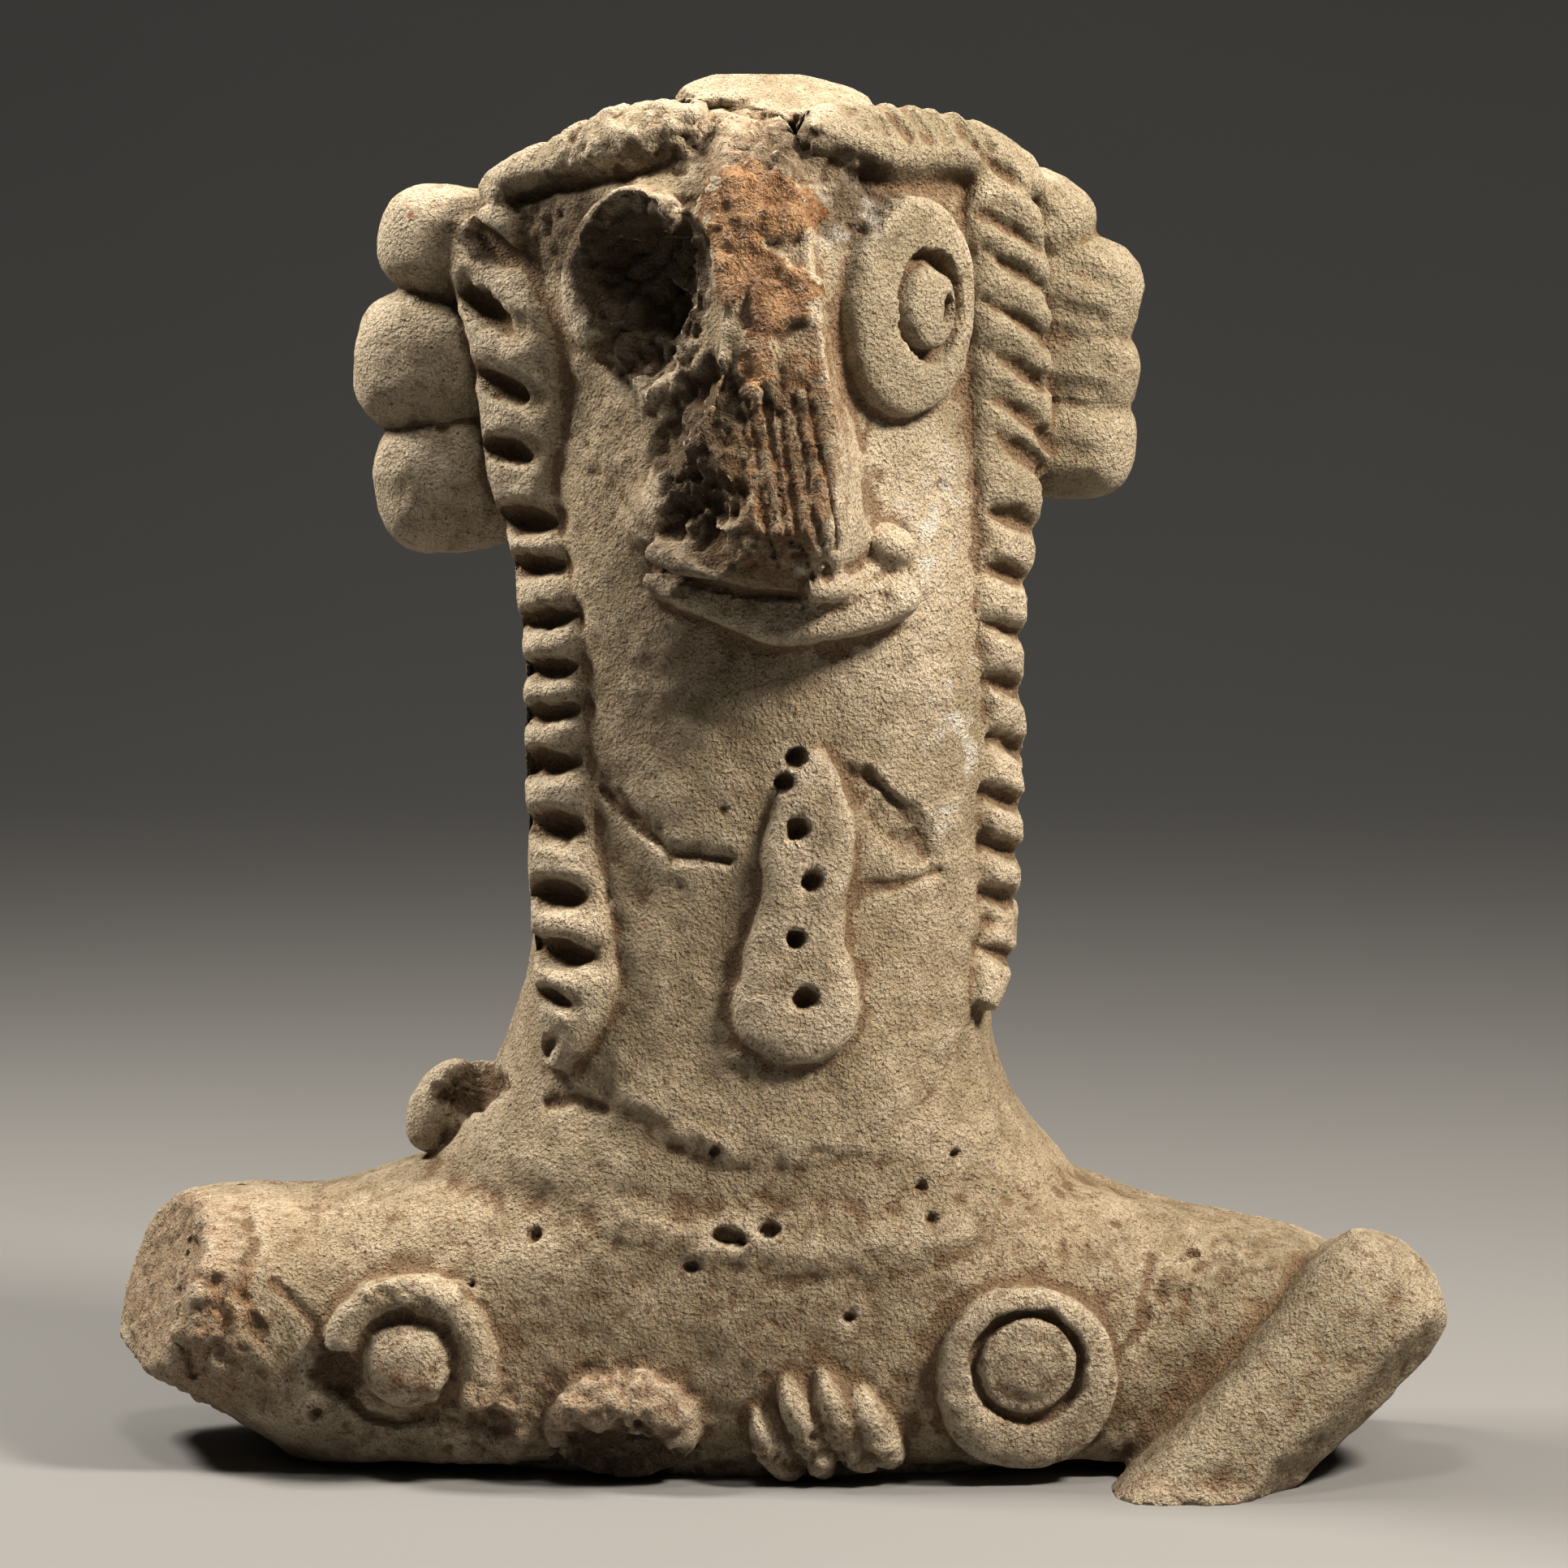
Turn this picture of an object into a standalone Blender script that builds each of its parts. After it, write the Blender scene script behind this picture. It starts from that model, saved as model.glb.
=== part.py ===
"""A small hand-pinched clay idol, broken off across the chest, as one fired solid.

The trunk, the neck and the head are lofts that grow into one core. Strips, pellets and discs of
clay are laid on the core, and a stick and an awl are then pressed into them. The front faces -Y,
and the origin is in the middle of the flat broken underside.
"""
import math

import bmesh
import bpy
import numpy as np
from mathutils import Vector
from mathutils.bvhtree import BVHTree

# Overall sizes, in metres
HEIGHT = 0.0988
SHOULDER_SPAN = 0.0953
NECK_WIDTH = 0.0325
NECK_DEPTH = 0.0250
CHEST_DEPTH = 0.0275

# Arm and nose
ARM_WIDTH = 0.0104
ARM_DEPTH = 0.0110
NOSE_WIDTH = 0.0118
NOSE_RELIEF = 0.0205

# Strips of clay laid on the core
BAND_WIDTH = 0.0046
BAND_THICKNESS = 0.0022
TRESS_WIDTH = 0.0070
TRESS_THICKNESS = 0.0026
LIP_WIDTH = 0.0035
LIP_THICKNESS = 0.0025
PENDANT_WIDTH = 0.0090
PENDANT_THICKNESS = 0.0016
FINGER_WIDTH = 0.0027
FINGER_HEIGHT = 0.0023

# Pellets and discs of clay laid on the core
EYE_DIAMETER = 0.0146
EYE_THICKNESS = 0.0019
PUPIL_DIAMETER = 0.0056
PUPIL_HEIGHT = 0.0013
BREAST_DIAMETER = 0.0128
BREAST_THICKNESS = 0.0017
NIPPLE_DIAMETER = 0.0066
NIPPLE_HEIGHT = 0.0021
CROWN_LENGTH = 0.0145
CROWN_THICKNESS = 0.0036
CURL_DEPTH = 0.0105
RIM_WIDTH = 0.0026
SOCKET_DEPTH = 0.0024

# Marks of the stick and the awl
NOTCH_WIDTH = 0.0018
NOTCH_LENGTH = 0.0058
NOTCH_DEPTH = 0.0011
LEFT_NOTCHES = 15
RIGHT_NOTCHES = 17
GROOVE_WIDTH = 0.0012
GROOVE_DEPTH = 0.0008
AWL_DIAMETER = 0.0015
AWL_DEPTH = 0.0014
RING_GROOVE_WIDTH = 0.0012
RING_GROOVE_DEPTH = 0.0012
COLLAR_STEP = 0.0012
MARK_REACH = 0.0060

# Fineness of the clay surface, and the steps of a strip from notch to notch
CORE_GRAIN = 0.0007
FINE_GRAIN = 0.00042
TRIANGLES = 9700
LOBE_STEPS = 8
NOTCH_STEP = 4

# One millimetre of the real idol upwards, across the neck, across the shoulders, and in depth at
# the neck, the chest and the nose. The free forms below are read off in these, so that they keep
# their shares of the sizes above.
UP = HEIGHT / 98.8
ACROSS = NECK_WIDTH / 32.5
SPAN = SHOULDER_SPAN / 95.3
DEEP = NECK_DEPTH / 25.0
CHEST = CHEST_DEPTH / 27.5
BEAK = NOSE_RELIEF / 20.5

# Neck and head: height, half width left and right, front, back, roundness of the front
COLUMN = (
    (-3.0, 24.0, 22.0, 11.5, 10.5, 2.4),
    (14.0, 25.0, 23.8, 13.5, 11.5, 2.4),
    (20.0, 23.6, 21.8, 14.2, 11.5, 2.4),
    (24.0, 20.6, 18.6, 14.2, 11.4, 2.4),
    (28.0, 18.7, 16.5, 13.8, 11.2, 2.4),
    (34.0, 17.8, 15.8, 13.2, 11.0, 2.4),
    (48.0, 17.0, 15.9, 12.8, 10.8, 2.3),
    (58.0, 16.8, 16.2, 13.2, 10.5, 2.0),
    (66.0, 17.6, 17.2, 15.0, 10.5, 1.5),
    (74.0, 18.8, 18.2, 17.4, 10.5, 1.12),
    (84.0, 20.4, 19.0, 18.4, 10.0, 1.05),
    (89.0, 20.4, 19.0, 17.2, 9.2, 1.1),
    (92.4, 18.2, 17.4, 14.0, 7.6, 1.25),
    (95.0, 13.6, 13.6, 9.4, 5.8, 1.7),
    (96.4, 7.0, 7.0, 5.5, 3.5, 2.0),
)

# Trunk: distance across, top, bottom, front, back
TRUNK = (
    (-50.0, 13.0, 8.6, 9.0, 4.0),
    (-46.0, 16.4, 6.6, 10.5, 6.0),
    (-42.0, 18.4, 4.6, 12.0, 7.5),
    (-38.0, 19.0, 2.2, 12.8, 8.5),
    (-33.0, 18.8, -1.0, 13.0, 9.5),
    (-27.0, 19.4, -3.0, 13.6, 10.5),
    (-20.0, 22.0, -4.0, 14.4, 11.3),
    (-10.0, 26.0, -4.0, 15.2, 12.0),
    (0.0, 27.0, -4.0, 15.5, 12.0),
    (10.0, 25.2, -4.0, 15.2, 12.0),
    (18.0, 21.5, -4.0, 14.4, 11.3),
    (26.0, 18.5, -4.0, 13.4, 10.5),
    (34.0, 16.5, -3.0, 12.5, 9.0),
    (40.0, 14.8, -0.5, 11.0, 7.5),
    (43.0, 12.2, 3.0, 8.0, 5.0),
    (44.0, 10.5, 6.0, 5.0, 2.5),
)

# Break of the left arm: a point of it and the way it faces
STUB = (-43.6, -2.0, 15.0)
STUB_FACING = (-0.90, -0.36, 0.26)

# Nose: height, middle, share of its width, front as a share of its relief
NOSE = (
    (96.0, -1.4, 0.34, 0.44),
    (93.0, -1.2, 0.40, 0.72),
    (88.0, -0.6, 0.48, 0.92),
    (80.0, 0.2, 0.58, 1.00),
    (73.0, 0.0, 0.86, 1.03),
    (69.4, -0.8, 1.02, 1.03),
    (67.2, -0.9, 1.04, 1.00),
    (66.0, -0.2, 0.88, 0.92),
    (64.9, 0.8, 0.46, 0.84),
)
NOSE_ROOT = -4.0
NOSE_FLARE = 0.35

# Worn flat of the nose ridge, break on its left, and chipped lower edge of the chest: a point of
# each and the way it faces
RIDGE_FLAT = (1.0, -17.2, 82.0)
RIDGE_FACING = (-0.16, -1.0, 0.217)
NOSE_BREAK = (-2.0, -20.2, 71.0)
NOSE_BREAK_FACING = (-0.64, -0.74, -0.22)
EDGE_BREAK = (0.0, -5.6, 0.0)
EDGE_BREAK_FACING = (0.0, -0.16, -0.987)

# Right arm: distance across, height and depth of its middle, share of its width and of its depth
ARM = (
    (46.2, 15.0, -8.6, 0.30, 0.35),
    (45.2, 14.4, -9.2, 0.72, 0.75),
    (43.6, 12.9, -9.8, 0.97, 0.97),
    (40.0, 9.2, -11.5, 1.00, 1.00),
    (34.8, 4.4, -14.0, 0.90, 1.00),
    (29.1, -1.0, -16.0, 0.85, 0.98),
    (25.0, -5.2, -17.5, 0.85, 0.95),
)
ARM_SLOPE = (0.718, 0.0, -0.696)

# Strips on the head and neck: distance across, height, share of the strip's width
LEFT_TRESS = (
    (-22.0, 89.4, 0.44), (-20.9, 87.0, 0.78), (-19.4, 83.6, 0.92), (-17.4, 80.0, 1.02),
    (-16.6, 75.0, 1.02), (-16.8, 70.0, 0.84), (-16.4, 66.5, 0.70), (-15.7, 63.0, 0.70),
    (-14.9, 58.0, 0.76), (-14.7, 50.0, 0.80), (-14.3, 44.0, 0.86), (-13.7, 38.0, 0.92),
    (-13.5, 34.5, 0.92), (-14.2, 31.4, 0.66), (-15.0, 28.8, 0.30),
)
RIGHT_TRESS = (
    (15.4, 92.2, 0.54), (16.0, 90.0, 0.74), (16.5, 86.0, 0.80), (16.8, 81.0, 0.84),
    (17.0, 76.0, 0.90), (16.9, 71.0, 0.88), (16.3, 66.0, 0.74), (15.7, 62.0, 0.68),
    (15.8, 54.0, 0.68), (16.0, 46.0, 0.68), (15.7, 39.0, 0.64), (15.1, 35.0, 0.56),
    (14.6, 32.6, 0.32),
)
LEFT_BAND = (
    (-4.6, 95.0, 0.80), (-8.6, 94.6, 1.00), (-12.4, 93.7, 0.90), (-16.4, 92.2, 0.66),
    (-20.4, 90.4, 0.44),
)
RIGHT_BAND = (
    (1.6, 94.2, 0.55), (4.0, 95.0, 0.85), (8.0, 95.2, 1.04), (12.0, 94.6, 1.00),
    (15.6, 93.0, 0.80), (18.6, 91.0, 0.60),
)
LOWER_LIP = (
    (-8.4, 63.0, 0.45), (-6.6, 62.5, 0.66), (-3.6, 61.9, 0.84), (-0.6, 60.8, 0.94),
    (2.0, 60.7, 1.05), (5.4, 61.2, 1.10), (8.0, 61.8, 0.90), (9.4, 62.1, 0.40),
)
UPPER_LIP = ((-8.0, 66.0, 0.46), (-6.4, 65.5, 0.62), (-3.6, 64.6, 0.60), (-0.6, 63.7, 0.38))
PENDANT = (
    (2.9, 51.6, 0.16), (2.9, 50.0, 0.46), (3.0, 47.5, 0.62), (2.7, 44.0, 0.71),
    (2.3, 40.6, 0.66), (1.8, 38.0, 0.78), (1.8, 35.2, 0.96), (1.8, 32.8, 0.98),
    (1.9, 30.8, 0.70), (1.9, 29.8, 0.34),
)

# Curls beside the head: middle across, height, half width and half height, tilt in degrees
CURLS = (
    (-22.8, 86.8, 5.6, 4.2, -14.0),
    (-24.2, 78.2, 6.0, 5.3, -4.0),
    (-22.9, 69.9, 5.9, 5.2, 8.0),
    (19.6, 88.4, 3.7, 3.8, -32.0),
    (21.4, 83.0, 5.3, 5.0, -20.0),
    (21.6, 77.2, 5.0, 4.4, -12.0),
    (21.2, 71.6, 5.1, 4.5, -6.0),
)

# Awl holes down the pendant, and grooves across the right curls and along the right band
PENDANT_HOLES = ((1.6, 51.0), (1.0, 49.3), (1.8, 46.0), (2.6, 42.4), (1.7, 38.4), (2.3, 34.2))
CURL_GROOVES = (
    (20.6, 90.4, -28.0), (23.6, 86.0, -24.0), (23.2, 83.2, -20.0), (23.8, 79.8, -14.0),
    (24.6, 75.0, -10.0), (23.4, 72.4, -8.0), (23.4, 70.2, -6.0),
)
BAND_GROOVES = ((6.0, 96.2), (7.8, 96.2), (9.6, 95.9), (11.2, 95.2), (12.8, 94.4))

# Lower edges of the two clay layers that overlap at the base of the neck: their lowest point,
# how much they rise to the left and to the right for each millimetre squared, their reach and
# their share of the step
COLLARS = (
    (0.6, 22.0, 0.034, 0.046, 17.0, 1.0),
    (2.0, 14.9, 0.015, 0.011, 24.0, 0.6),
)
EDGE_RUN = 0.7
LAYER_FADE = 6.0

# Places of the eyes and breasts, across and in height, and how far the pupil and nipple sit off
EYE = (9.8, 82.4)
SOCKET = (-8.8, 83.6)
LEFT_BREAST = (-25.4, 8.6)
RIGHT_BREAST = (17.8, 7.7)
PUPIL_SHIFT = 0.0009
NIPPLE_RISE = 0.0010

# Crown slab: across and depth, the share of it below the top, and the way it faces
CROWN = (0.3, -4.2)
CROWN_SINK = 0.81
CROWN_FACING = (0.04, -0.42, 1.0)

# Lip nub: across and height; how far back the curls lie
NUB = (8.0, 65.5)
CURL_BACK = 4.4

# Lug on the left shoulder and its root: across, depth, height, width, length and half depth
LUG = (-23.7, -0.6, 24.6, 5.0, 7.4, 3.2)
LUG_ROOT = (-20.6, 0.2, 24.6, 6.4, 6.2, 2.8)

# The broken knob on the chest: middle across and height, half sizes
KNOB = (-10.4, 4.3, 5.4, 4.0)

# Fingers of the hand on the chest: upper and lower end across and in height
FINGERS = (
    (-0.5, 4.6, 1.1, 1.2),
    (1.4, 6.8, 3.5, 1.6),
    (3.9, 7.4, 6.1, 2.0),
    (6.3, 6.2, 8.2, 2.4),
)


def clear_scene():
    """Start from an empty scene."""
    for item in list(bpy.data.objects):
        bpy.data.objects.remove(item, do_unlink=True)


def collection(name):
    """Add a collection to the scene."""
    made = bpy.data.collections.new(name)
    bpy.context.scene.collection.children.link(made)
    return made


def along(table, steps):
    """Read a table of stations smoothly, at even steps of its length."""
    rows = np.array(table, dtype=float)
    spans = np.linalg.norm(np.diff(rows[:, :2], axis=0), axis=1)
    marks = np.concatenate(([0.0], np.cumsum(spans)))
    slopes = np.gradient(rows, marks, axis=0)
    at = np.linspace(0.0, marks[-1], steps)
    left = np.clip(np.searchsorted(marks, at, side="right") - 1, 0, len(rows) - 2)
    gap = (marks[left + 1] - marks[left])[:, None]
    t = (at - marks[left])[:, None] / gap
    start = rows[left] * (1 + 2 * t) * (1 - t) ** 2 + slopes[left] * gap * t * (1 - t) ** 2
    end = rows[left + 1] * (3 - 2 * t) * t ** 2 + slopes[left + 1] * gap * (t - 1) * t ** 2
    return start + end


def loft(name, rings):
    """Skin a closed solid over rings that have the same number of points."""
    bm = bmesh.new()
    made = [[bm.verts.new(point) for point in ring] for ring in rings]
    count = len(made[0])
    for low, high in zip(made, made[1:]):
        for i in range(count):
            j = (i + 1) % count
            bm.faces.new((low[i], low[j], high[j], high[i]))
    bm.faces.new(made[0])
    bm.faces.new(made[-1])
    bmesh.ops.recalc_face_normals(bm, faces=bm.faces)
    mesh = bpy.data.meshes.new(name)
    bm.to_mesh(mesh)
    bm.free()
    made = bpy.data.objects.new(name, mesh)
    WORKSHOP.objects.link(made)
    return made


def oval(count, power):
    """Points of a rounded oblong of half size one, counter-clockwise from +X."""
    turns = np.linspace(0.0, 2.0 * math.pi, count, endpoint=False)
    c, s = np.cos(turns), np.sin(turns)
    return np.sign(c) * np.abs(c) ** (2 / power), np.sign(s) * np.abs(s) ** (2 / power)


def column():
    """Neck and head: a flattened pillar whose front narrows to a wedge at the face."""
    rings = []
    for z, left, right, front, back, power in along(COLUMN, 48):
        fx, fy = oval(64, power)
        bx, by = oval(64, 2.3)
        x = np.where(fy < 0, fx, bx)
        y = np.where(fy < 0, fy * front, by * back)
        x = x * np.where(x > 0, right, left)
        rings.append([(a * ACROSS, b * DEEP, z * UP) for a, b in zip(x, y)])
    return loft("neck and head", rings)


def trunk():
    """Chest and shoulders: a slab that thins out towards both shoulders."""
    rings = []
    for x, top, bottom, front, back in along(TRUNK, 72):
        a, b = oval(48, 2.6)
        y = np.where(a < 0, a * front, a * back)
        z = (top + bottom) / 2 + b * (top - bottom) / 2
        rings.append([(x * SPAN, c * CHEST, d * UP) for c, d in zip(y, z)])
    return loft("trunk", rings)


def nose():
    """Beak: a blunt ridge down the whole face, widest at its lower end."""
    rings = []
    for z, middle, width, relief in along(NOSE, 30):
        a, b = oval(40, 4.5)
        front = -relief * NOSE_RELIEF
        back = NOSE_ROOT * DEEP
        y = (front + back) / 2 + b * (back - front) / 2
        flare = 1.0 + NOSE_FLARE * (y - front) / (back - front)
        x = middle * ACROSS + a * flare * width * NOSE_WIDTH / 2
        rings.append([(c, d, z * UP) for c, d in zip(x, y)])
    return loft("nose", rings)


def arm():
    """Right arm: a flattened roll that comes down and forward from the shoulder."""
    rings = []
    slope = Vector(ARM_SLOPE)
    for x, z, y, width, depth in along(ARM, 24):
        middle = Vector((x * SPAN, y * CHEST, z * UP))
        a, b = oval(40, 2.9)
        wide = a * width * ARM_WIDTH / 2
        deep = b * depth * ARM_DEPTH / 2
        rings.append([middle + slope * c + Vector((0, d, 0)) for c, d in zip(wide, deep)])
    return loft("arm", rings)


def bake(item):
    """Keep an object's shape as its modifiers show it."""
    graph = bpy.context.evaluated_depsgraph_get()
    old = item.data
    item.data = bpy.data.meshes.new_from_object(item.evaluated_get(graph))
    item.modifiers.clear()
    bpy.data.meshes.remove(old)


def fuse(pieces, grain, passes):
    """Join pieces of clay into one skin and rub it smooth."""
    bpy.ops.object.select_all(action="DESELECT")
    for piece in pieces:
        piece.select_set(True)
    body = pieces[0]
    bpy.context.view_layer.objects.active = body
    bpy.ops.object.join()
    skin = body.modifiers.new("skin", "REMESH")
    skin.mode = "VOXEL"
    skin.voxel_size = grain
    rub = body.modifiers.new("rub", "SMOOTH")
    rub.factor = 0.5
    rub.iterations = passes
    bake(body)
    return body


class Clay:
    """The core's surface, to lay other pieces of clay on."""

    def __init__(self, body):
        graph = bpy.context.evaluated_depsgraph_get()
        self.tree = BVHTree.FromObject(body, graph)

    def seat(self, x, z):
        """The point of the surface that shows at x and z from the front, and its normal."""
        start = Vector((x, -1.0, z))
        point, normal, _, _ = self.tree.ray_cast(start, Vector((0, 1, 0)))
        if point is None:
            point, normal, _, _ = self.tree.find_nearest(Vector((x, -3.0 * DEEP, z)))
        return point, normal

    def soft_seat(self, x, z, reach):
        """A seat whose normal is the mean of a patch, so that small bumps don't tilt it."""
        point, normal = self.seat(x, z)
        total = Vector(normal)
        for turn in range(8):
            angle = turn * math.pi / 4
            total += self.seat(x + reach * math.cos(angle), z + reach * math.sin(angle))[1]
        return point, total.normalized()


def lobe_bulge(step):
    """How far a strip swells at a step of its length: 0 at a notch and 1 between two notches."""
    phase = (step - NOTCH_STEP) / LOBE_STEPS % 1.0
    share = 2.0 * min(phase, 1.0 - phase)
    return math.sqrt(1.0 - (1.0 - share) ** 2)


def strip(name, clay, table, across, width, thickness, power=2.5, facing=0.0, lobes=0):
    """Lay a strip of clay along a route over the core, pinched in between its lobes if any."""
    route = [(x * across, z * UP, share) for x, z, share in table]
    stations = along(route, LOBE_STEPS * lobes + 1 if lobes else 4 * len(route))
    seats = [clay.soft_seat(x, z, 0.25 * width) for x, z, _ in stations]
    points = [seat[0] for seat in seats]
    rings = []
    for i, (point, normal) in enumerate(seats):
        normal = (normal + Vector((0, -facing, 0))).normalized()
        ahead = points[min(i + 1, len(points) - 1)] - points[max(i - 1, 0)]
        side = ahead.cross(normal).normalized()
        out = side.cross(ahead).normalized()
        share = stations[i][2]
        bulge = lobe_bulge(i) if lobes else 1.0
        a, b = oval(20, power)
        thick = thickness * min(1.0, 0.45 + 0.55 * share) * (0.62 + 0.38 * bulge)
        wide = share * width / 2 * (0.91 + 0.09 * bulge)
        rings.append([point + side * (c * wide) + out * (d * thick) for c, d in zip(a, b)])
    return loft(name, rings)


def pellet(name, point, out, up, width, length, height, power=2.6, outline=2.2):
    """Press a rounded pellet of clay on the core."""
    rings = []
    a, b = oval(28, outline)
    side = up.cross(out).normalized()
    rise = out.cross(side).normalized()
    for step in range(1, 16):
        turn = -math.pi / 2 + math.pi * step / 16
        wide = math.cos(turn) ** (2 / power)
        high = math.copysign(abs(math.sin(turn)) ** (2 / power), turn)
        middle = point + out * high * height
        rings.append([
            middle + side * (c * wide * width / 2) + rise * (d * wide * length / 2)
            for c, d in zip(a, b)
        ])
    return loft(name, rings)


def ring(name, point, out, up, diameter, thickness, height, first=0.0, last=360.0):
    """Press a ring of clay, or a part of one, on the core."""
    side = up.cross(out).normalized()
    rise = out.cross(side).normalized()
    centres = []
    for step in range(37):
        angle = math.radians(first + (last - first) * step / 36)
        centres.append(side * math.cos(angle) + rise * math.sin(angle))
    a, b = oval(14, 2.4)
    rings = []
    for toward in centres:
        middle = point + toward * (diameter - thickness) / 2
        rings.append([middle + toward * (c * thickness / 2) + out * (d * height) for c, d in zip(a, b)])
    return loft(name, rings)


def read_mesh(body):
    """The mesh's points and normals as arrays."""
    count = len(body.data.vertices)
    points = np.empty(count * 3)
    normals = np.empty(count * 3)
    body.data.vertices.foreach_get("co", points)
    body.data.vertices.foreach_get("normal", normals)
    return points.reshape(-1, 3), normals.reshape(-1, 3)


def write_mesh(body, points):
    """Put the points back into the mesh."""
    body.data.vertices.foreach_set("co", points.ravel())
    body.data.update()


def stamp(points, normals, centre, out, lie, length, width, depth, blunt=1.0):
    """Push the clay in under a rounded oblong tip that lies along a direction."""
    out = np.array(out)
    lie = np.array(lie) - out * np.dot(lie, out)
    lie /= np.linalg.norm(lie)
    side = np.cross(out, lie)
    offset = points - np.array(centre)
    u = np.maximum(np.abs(offset @ lie) - max(length - width, 0.0) / 2, 0.0)
    v = offset @ side
    reach = np.sqrt(u * u + v * v) / (width / 2)
    near = (reach < 1.0) & (np.abs(offset @ out) < MARK_REACH) & (normals @ out > 0.1)
    points[near] -= np.outer(depth * (1.0 - reach[near] ** 2) ** blunt, out)


def ring_groove(points, normals, middle, out, inner):
    """A round groove pressed around a pellet."""
    out = np.array(out)
    offset = points - np.array(middle)
    high = offset @ out
    radius = np.linalg.norm(offset - np.outer(high, out), axis=1)
    reach = np.abs(radius - (inner + RING_GROOVE_WIDTH) / 2) / (RING_GROOVE_WIDTH / 2)
    near = (reach < 1.0) & (np.abs(high) < MARK_REACH) & (normals @ out > 0.2)
    points[near] -= np.outer(RING_GROOVE_DEPTH * (1 - reach[near] ** 2) ** 0.7, out)


def ledge(points, normals, middle, low, rise_left, rise_right, reach, share):
    """Raise the clay above a curved lower edge, so that the layer above overlaps the one below."""
    x = points[:, 0] / ACROSS - middle
    z = points[:, 2] / UP
    edge = low + np.where(x < 0, rise_left, rise_right) * x * x
    above = z - edge
    lift = np.clip(above / EDGE_RUN, 0, 1) * np.exp(-np.maximum(above, 0) / LAYER_FADE)
    lift *= np.clip((reach - np.abs(x)) / (0.5 * reach), 0, 1) * (normals[:, 1] < -0.3)
    points[:, 1] -= share * COLLAR_STEP * lift


def rope_marks(clay, points, normals, table, count, tilt_top, tilt_low, length):
    """Press a stick across a strip again and again, down its whole length."""
    route = [(x * ACROSS, z * UP, share) for x, z, share in table]
    stations = along(route, LOBE_STEPS * count + 1)
    for i in range(count):
        x, z, share = stations[LOBE_STEPS * i + NOTCH_STEP]
        tilt = math.radians(tilt_top + (tilt_low - tilt_top) * min(1.0, 2.0 * i / count))
        point, out = clay.soft_seat(x, z, 0.3 * TRESS_WIDTH)
        lie = (math.cos(tilt), 0.0, math.sin(tilt))
        stamp(points, normals, point, out, lie, length * share, NOTCH_WIDTH, NOTCH_DEPTH, 0.7)


def snap_off(body, point, facing):
    """Break the clay off along a plane."""
    points, _ = read_mesh(body)
    facing = np.array(facing) / np.linalg.norm(facing)
    beyond = np.maximum((points - np.array(point)) @ facing, 0.0)
    points -= np.outer(beyond, facing)
    write_mesh(body, points)


def build_core():
    """Grow the trunk, neck, head, nose and arm together."""
    chest = trunk()
    snap_off(chest, (STUB[0] * SPAN, STUB[1] * CHEST, STUB[2] * UP), STUB_FACING)
    snap_off(chest, (0, EDGE_BREAK[1] * CHEST, EDGE_BREAK[2] * UP), EDGE_BREAK_FACING)
    beak = nose()
    x, y, z = NOSE_BREAK
    snap_off(beak, (x * ACROSS, y * BEAK, z * UP), NOSE_BREAK_FACING)
    body = fuse([chest, column(), beak, arm()], CORE_GRAIN, 3)
    x, y, z = RIDGE_FLAT
    snap_off(body, (x * ACROSS, y * BEAK, z * UP), RIDGE_FACING)
    return body


def lay_strips(clay):
    """Bands, tresses, lips and pendant."""
    return [
        strip("left tress", clay, LEFT_TRESS, ACROSS, TRESS_WIDTH, TRESS_THICKNESS,
              facing=0.9, lobes=LEFT_NOTCHES),
        strip("right tress", clay, RIGHT_TRESS, ACROSS, TRESS_WIDTH, TRESS_THICKNESS,
              facing=0.25, lobes=RIGHT_NOTCHES),
        strip("left band", clay, LEFT_BAND, ACROSS, BAND_WIDTH, BAND_THICKNESS),
        strip("right band", clay, RIGHT_BAND, ACROSS, BAND_WIDTH, BAND_THICKNESS),
        strip("lower lip", clay, LOWER_LIP, ACROSS, LIP_WIDTH, LIP_THICKNESS),
        strip("upper lip", clay, UPPER_LIP, ACROSS, LIP_WIDTH, LIP_THICKNESS),
        strip("pendant", clay, PENDANT, ACROSS, PENDANT_WIDTH, PENDANT_THICKNESS, power=3.2),
    ]


def eye_seat(clay):
    """Middle, facing and leaning of the right eye."""
    point, out = clay.soft_seat(EYE[0] * ACROSS, EYE[1] * UP, EYE_DIAMETER / 4)
    return point, out, Vector((0.12, 0, 1))


def socket_seat(clay):
    """Middle and facing of the left eye, whose disc is lost."""
    return clay.soft_seat(SOCKET[0] * ACROSS, SOCKET[1] * UP, EYE_DIAMETER / 4)


def breast_seat(clay, place):
    """Middle and facing of a breast."""
    return clay.soft_seat(place[0] * SPAN, place[1] * UP, BREAST_DIAMETER / 4)


def sideways(out, lean, shift):
    """A step across a disc, to its own right."""
    return lean.cross(out).normalized() * shift


def lay_eyes(clay):
    """The right eye's disc and pupil, and the rim that is left of the other eye."""
    eye, out, lean = eye_seat(clay)
    pupil = eye + sideways(out, lean, PUPIL_SHIFT) + out * EYE_THICKNESS
    socket, socket_out = socket_seat(clay)
    return [
        pellet("eye disc", eye, out, lean, EYE_DIAMETER, EYE_DIAMETER * 1.05, EYE_THICKNESS, 5.0),
        pellet("pupil", pupil, out, lean, PUPIL_DIAMETER, PUPIL_DIAMETER, PUPIL_HEIGHT),
        ring("eye rim", socket, socket_out, Vector((0, 0, 1)), EYE_DIAMETER, RIM_WIDTH,
             EYE_THICKNESS, 50.0, 225.0),
    ]


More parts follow.
